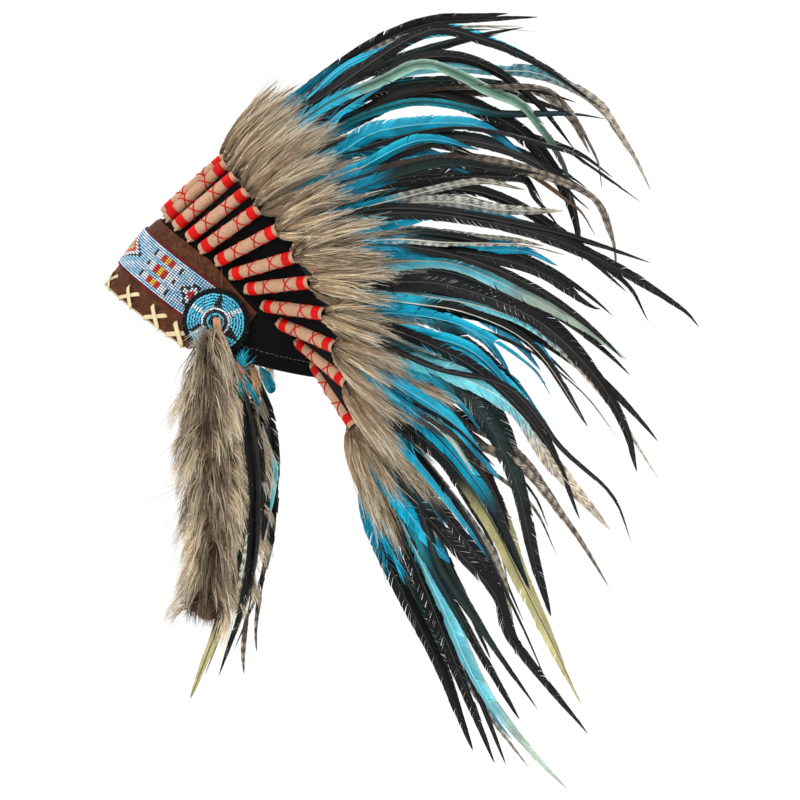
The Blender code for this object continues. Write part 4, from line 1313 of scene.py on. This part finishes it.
# Feathers of a drop: kind, width in pixels, then places on the way to the tip in pixels
DROP_FEATHERS = (
    ("blue", 12, (234, 362), (246, 378), (254, 392), (260, 406)),
    ("teal", 11, (228, 358), (235, 376), (241, 394), (245, 412)),
    ("black", 19, (236, 362), (247, 400), (256, 440), (260, 490), (254, 560), (243, 612), (219, 676)),
    ("black", 15, (238, 372), (250, 420), (258, 470), (259, 540), (250, 600)),
    ("black", 16, (234, 376), (243, 420), (250, 470), (253, 520), (250, 560)),
    ("pale", 9, (250, 440), (261, 480), (258, 510), (252, 538), (244, 566), (239, 598)),
    ("green", 10, (246, 450), (254, 495), (245, 538), (234, 584)),
    ("grizzly", 7, (250, 500), (248, 545), (240, 585), (236, 606)),
    ("olive", 8, (226, 560), (218, 622), (205, 660), (190, 699)),
    ("brown", 5, (252, 590), (245, 630), (243, 655), (244, 675)),
)
# Fur of a drop: row in pixels, then its dark parting, its front edge and its back edge in pixels
FUR_STRIP = (
    (328, 210, 197, 218), (345, 209, 194, 226), (370, 207, 191, 234), (410, 203, 188, 243),
    (450, 206, 187, 249), (500, 212, 190, 250), (560, 213, 190, 246), (590, 208, 185, 238),
    (612, 205, 178, 236),
)
FUR_SPINE = ((209, 338), (215, 400), (216, 480), (215, 560), (208, 610))
CLUMPS = 250
CLUMP_HAIRS = 26
# Pale patches in a drop's fur, in pixels: middle across and down, then half width and half height
PALE_PATCHES = (
    (222, 395, 5, 12), (228, 425, 8, 26), (232, 492, 9, 16), (228, 538, 9, 14), (198, 455, 4, 20),
    (199, 545, 5, 26), (222, 590, 6, 18),
)
# Tufts: hairs, first and last root, way and wander of a hair in pixels, its tint, and its width in metres
TUFT_ROWS = (
    (46, (192, 360), (192, 600), (-26, 24), 9, FUR_DARK, 0.0004),
    (260, (188, 598), (224, 604), (-3, 21), 2.5, FUR_DEEP_AND_SHADE, 0.0008),
    (40, (240, 380), (246, 590), (9, 26), 3, FUR_MIDDLE, 0.0005),
    (130, (203, 327), (207, 333), (-11, 17), 5, srgb(206, 208, 202), 0.0007),
    (90, (226, 600), (230, 622), (-8, 32), 3, FUR_MIDDLE, 0.0007),
    (90, (237, 366), (239, 369), (6, -12), 4, srgb(40, 178, 204), 0.0008),
    (70, (251, 366), (256, 378), (5, 16), 2.5, srgb(196, 156, 110), 0.0006),
)
# A thong's way from the rosette's face in metres: out, back and up, and 1 where the second tail lies outside
THONG_WAY = (
    (-0.004, -0.001, 0.002, 0), (0.0022, 0.0, 0.0022, 0), (0.0065, 0.0008, -0.003, 1),
    (0.0090, 0.002, -0.012, 1), (0.0085, 0.004, -0.020, 1), (0.0060, 0.005, -0.028, 1),
)
# Ties of the feathers: first and last end in pixels
TIE_ENDS = (((226, 352), (244, 373)), ((226, 350), (236, 368)))


def world_drop(side, u, v, out):
    """A point of a drop by its pixel in the photograph, at a distance out from the rosette's face."""
    return unproject(u, v, DROP_FACE + out) * np.array([side, 1, 1])


def combed_fur(fur, side, rng):
    """Hair of a drop: clumps that part along a dark line and sweep down to both edges."""
    rows, partings, fronts, backs = np.array(FUR_STRIP, float).T
    v = rng.uniform(328, 606, (CLUMPS, 1))
    across = rng.uniform(-1, 1, (CLUMPS, 1))
    parting = np.interp(v, rows, partings)
    edge = np.where(across < 0, np.interp(v, rows, fronts), np.interp(v, rows, backs))
    u = parting + (edge - parting) * np.abs(across) ** 0.8 * 0.80
    flare = smooth_step(575, 605, v)
    sway = across * 19 + rng.normal(0, 3, v.shape) - 9 * flare * (across < 0.3)
    drop = rng.uniform(22, 42, v.shape) * (1 - 0.45 * flare)
    out = 0.003 + 0.006 * np.sqrt(1 - across ** 2) + 0.006 * smooth_step(366, 338, v)
    shape = (CLUMPS, CLUMP_HAIRS)
    root_u, root_v = u + rng.normal(0, 3.4, shape), v + rng.normal(0, 4.5, shape)
    tip_u, tip_v = u + sway + rng.normal(0, 2.0, shape), v + drop + rng.normal(0, 4, shape)
    bend_u = root_u + (tip_u - root_u) * 0.75 + rng.normal(0, 1, shape)
    bend_v = root_v + (tip_v - root_v) * 0.40
    deep = out + rng.normal(0, 0.0015, shape)
    light = 0.02 + 0.62 * np.abs(across) + 0.22 * rng.normal(0, 1, v.shape)
    for patch_u, patch_v, wide, tall in PALE_PATCHES:
        light = light + 0.75 * np.exp(-((u - patch_u) / wide) ** 2 - ((v - patch_v) / tall) ** 2)
    light = light - 0.5 * smooth_step(565, 600, v) * (np.abs(across) < 0.6)
    light = np.clip(light + rng.normal(0, 0.2, shape), 0, 1).ravel()
    grown = [world_drop(side, *place).reshape(-1, 3) for place in (
        (root_u, root_v, deep), (bend_u, bend_v, deep + 0.005), (tip_u, tip_v, deep + 0.001),
    )]
    width = rng.uniform(0.0005, 0.0010, light.size)
    middle = blend(FUR_DEEP_AND_SHADE, FUR_MIDDLE, np.clip(light * 1.15, 0, 1))
    base, tip = blend(FUR_DEEP_AND_SHADE * 0.7, FUR_DARK, light), blend(FUR_DARK, FUR_LIGHT, light)
    ribbons(fur, *grown, width, base, middle, tip, rng)
    for count, first, last, way, wander, tint, width in TUFT_ROWS:
        root = blend(first, last, rng.random(count)) + rng.normal(0, 1.5, (count, 2))
        tip = root + np.array(way) * rng.uniform(0.5, 1.2, (count, 1)) + rng.normal(0, wander, (count, 2))
        bend = root * 0.5 + tip * 0.5 + rng.normal(0, 1.5, (count, 2))
        grown = [world_drop(side, *spot.T, out) for spot, out in ((root, 0.007), (bend, 0.012), (tip, 0.010))]
        shades = tint * rng.uniform(0.75, 1.15, (count, 1))
        ribbons(fur, *grown, width, shades * 0.8, shades, np.clip(shades * 1.1, 0, 1), rng)


def thongs(side, rng):
    """Two tails of one thong from the middle of the rosette, and the ties of the feathers."""
    thong = Pile()
    face = rosette_points(side, 0.0, 0.0, ROSETTE_OUTER)
    for shift, out in ((0.0, 0.0), (0.0030, 0.0012)):
        way = [face + np.array([side * (x + out * apart), shift + y, z]) for x, y, z, apart in THONG_WAY]
        tint = srgb(188, 136, 102) * rng.uniform(0.9, 1.05)
        tube(thong, curve_through(np.array(way), 28), 0.0021, 8, tint, (side, 0, 0.2), 0.6)
    for start, end in TIE_ENDS:
        middle = np.mean((start, end), axis=0)
        places = ((start, 0.011), (middle, 0.013), (end, 0.011))
        way = curve_through([world_drop(side, *place, out) for place, out in places], 14)
        tube(thong, way, 0.0017, 8, srgb(160, 108, 92), (side, 0, 0), 0.4)
    return thong


def build_drops():
    suede = Surface("thong_suede", Roughness=0.85, Sheen_Weight=0.2)
    nap = suede.noise(suede.place(), 900.0, 4.0, 0.7)
    suede.colour(suede.cloud(suede.tint(), nap, 0.3, 0.7, (0.75, 0.72, 0.7), (1.12, 1.1, 1.1)))
    suede.bump(nap, 0.4, 0.0003)
    for side, word in ((1, "left"), (-1, "right")):
        rng = np.random.default_rng(40 + side)
        thongs(side, rng).make(f"thong_{word}", suede.material, "fur_beige", [f"drop_{word}"])
        fur = Pile()
        combed_fur(fur, side, rng)
        # A backing under the hair, tinted dark as painted shade that shows between the hairs
        spine = curve_through([world_drop(side, u, v, 0.003) for u, v in FUR_SPINE], 30)
        width = np.interp(np.linspace(0, 1, 30), [0, 0.2, 0.5, 0.9, 1], [0.006, 0.014, 0.020, 0.019, 0.018])
        tube(fur, spine, width, 14, FUR_DEEP_AND_SHADE, (side, 0, 0), 0.22)
        fur.make(f"fur_drop_{word}", fur_material, "fur_beige", [f"drop_{word}"])
        vanes, quills = Pile(), Pile()
        for number, (kind, width, *way) in enumerate(DROP_FEATHERS):
            flat = curve_through(way, 40)
            out = 0.004 + 0.0018 * (number % 4) + 0.004 * np.sin(np.linspace(0, math.pi, 40))
            feather(vanes, quills, world_drop(side, *flat.T, out), width * PIXEL, kind, rng, False)
        vanes.make(f"drop_feathers_{word}", vane_material, "feather_blue", [f"drop_{word}"])
        quills.make(f"drop_quills_{word}", quill_material, "feather_blue", [f"drop_{word}"])


glass_material = bead_surface()
cap_material = build_cap(thread_material)
build_strip(glass_material)
build_rosettes(glass_material, cap_material)
build_band(thread_material)
build_drops()


# Camera, lights and floor

FLOOR_RADIUS = 40
FLOOR_HEIGHT = -0.75
SENSOR = 36
# Lights: name, place, size in metres and power in watts, all turned to one place on the headdress
LIGHT_AIM = (0, 0.15, 0)
LIGHT_ROWS = (
    ("key", (2.4, -1.4, 2.2), 1.2, 46),
    ("fill", (1.6, 2.6, 0.6), 2.0, 12),
    ("back", (-2.4, 0.4, 1.6), 1.6, 22),
)


def build_stage():
    data = bpy.data.cameras.new("camera")
    data.sensor_width = SENSOR
    data.lens = SENSOR * DISTANCE / (PHOTO_SIZE * PIXEL)
    data.clip_end = 50
    camera = link("camera", data)
    camera.matrix_world = Matrix([*np.column_stack([RIGHT, UP, -FORWARD, EYE]).tolist(), (0, 0, 0, 1)])
    scene.camera = camera
    world = bpy.data.worlds.new("studio")
    scene.world = world
    world.use_nodes = True
    world.node_tree.nodes["Background"].inputs["Color"].default_value = (1, 1, 1, 1)
    world.node_tree.nodes["Background"].inputs["Strength"].default_value = 1.03
    floor_mesh = bpy.data.meshes.new("floor")
    turns = around(96)
    rim = np.stack(np.broadcast_arrays(
        FLOOR_RADIUS * np.cos(turns), FLOOR_RADIUS * np.sin(turns), FLOOR_HEIGHT), axis=1)
    floor_mesh.from_pydata(rim.tolist(), [], [tuple(range(96))])
    floor = link("floor", floor_mesh)
    paper = Surface("floor_paper", Roughness=0.9)
    clouds = paper.noise(paper.place(), 3.0)
    paper.colour(paper.ramp(clouds, 0.3, 0.7, (0.975, 0.975, 0.975, 1), (0.985, 0.985, 0.985, 1)))
    floor_mesh.materials.append(paper.material)
    for name, place, size, power in LIGHT_ROWS:
        data = bpy.data.lights.new(name, "AREA")
        data.shape = "DISK"
        data.size = size
        data.energy = power
        light = link(name, data)
        light.location = place
        light.rotation_euler = (Vector(LIGHT_AIM) - Vector(place)).to_track_quat("-Z", "Y").to_euler()


build_stage()
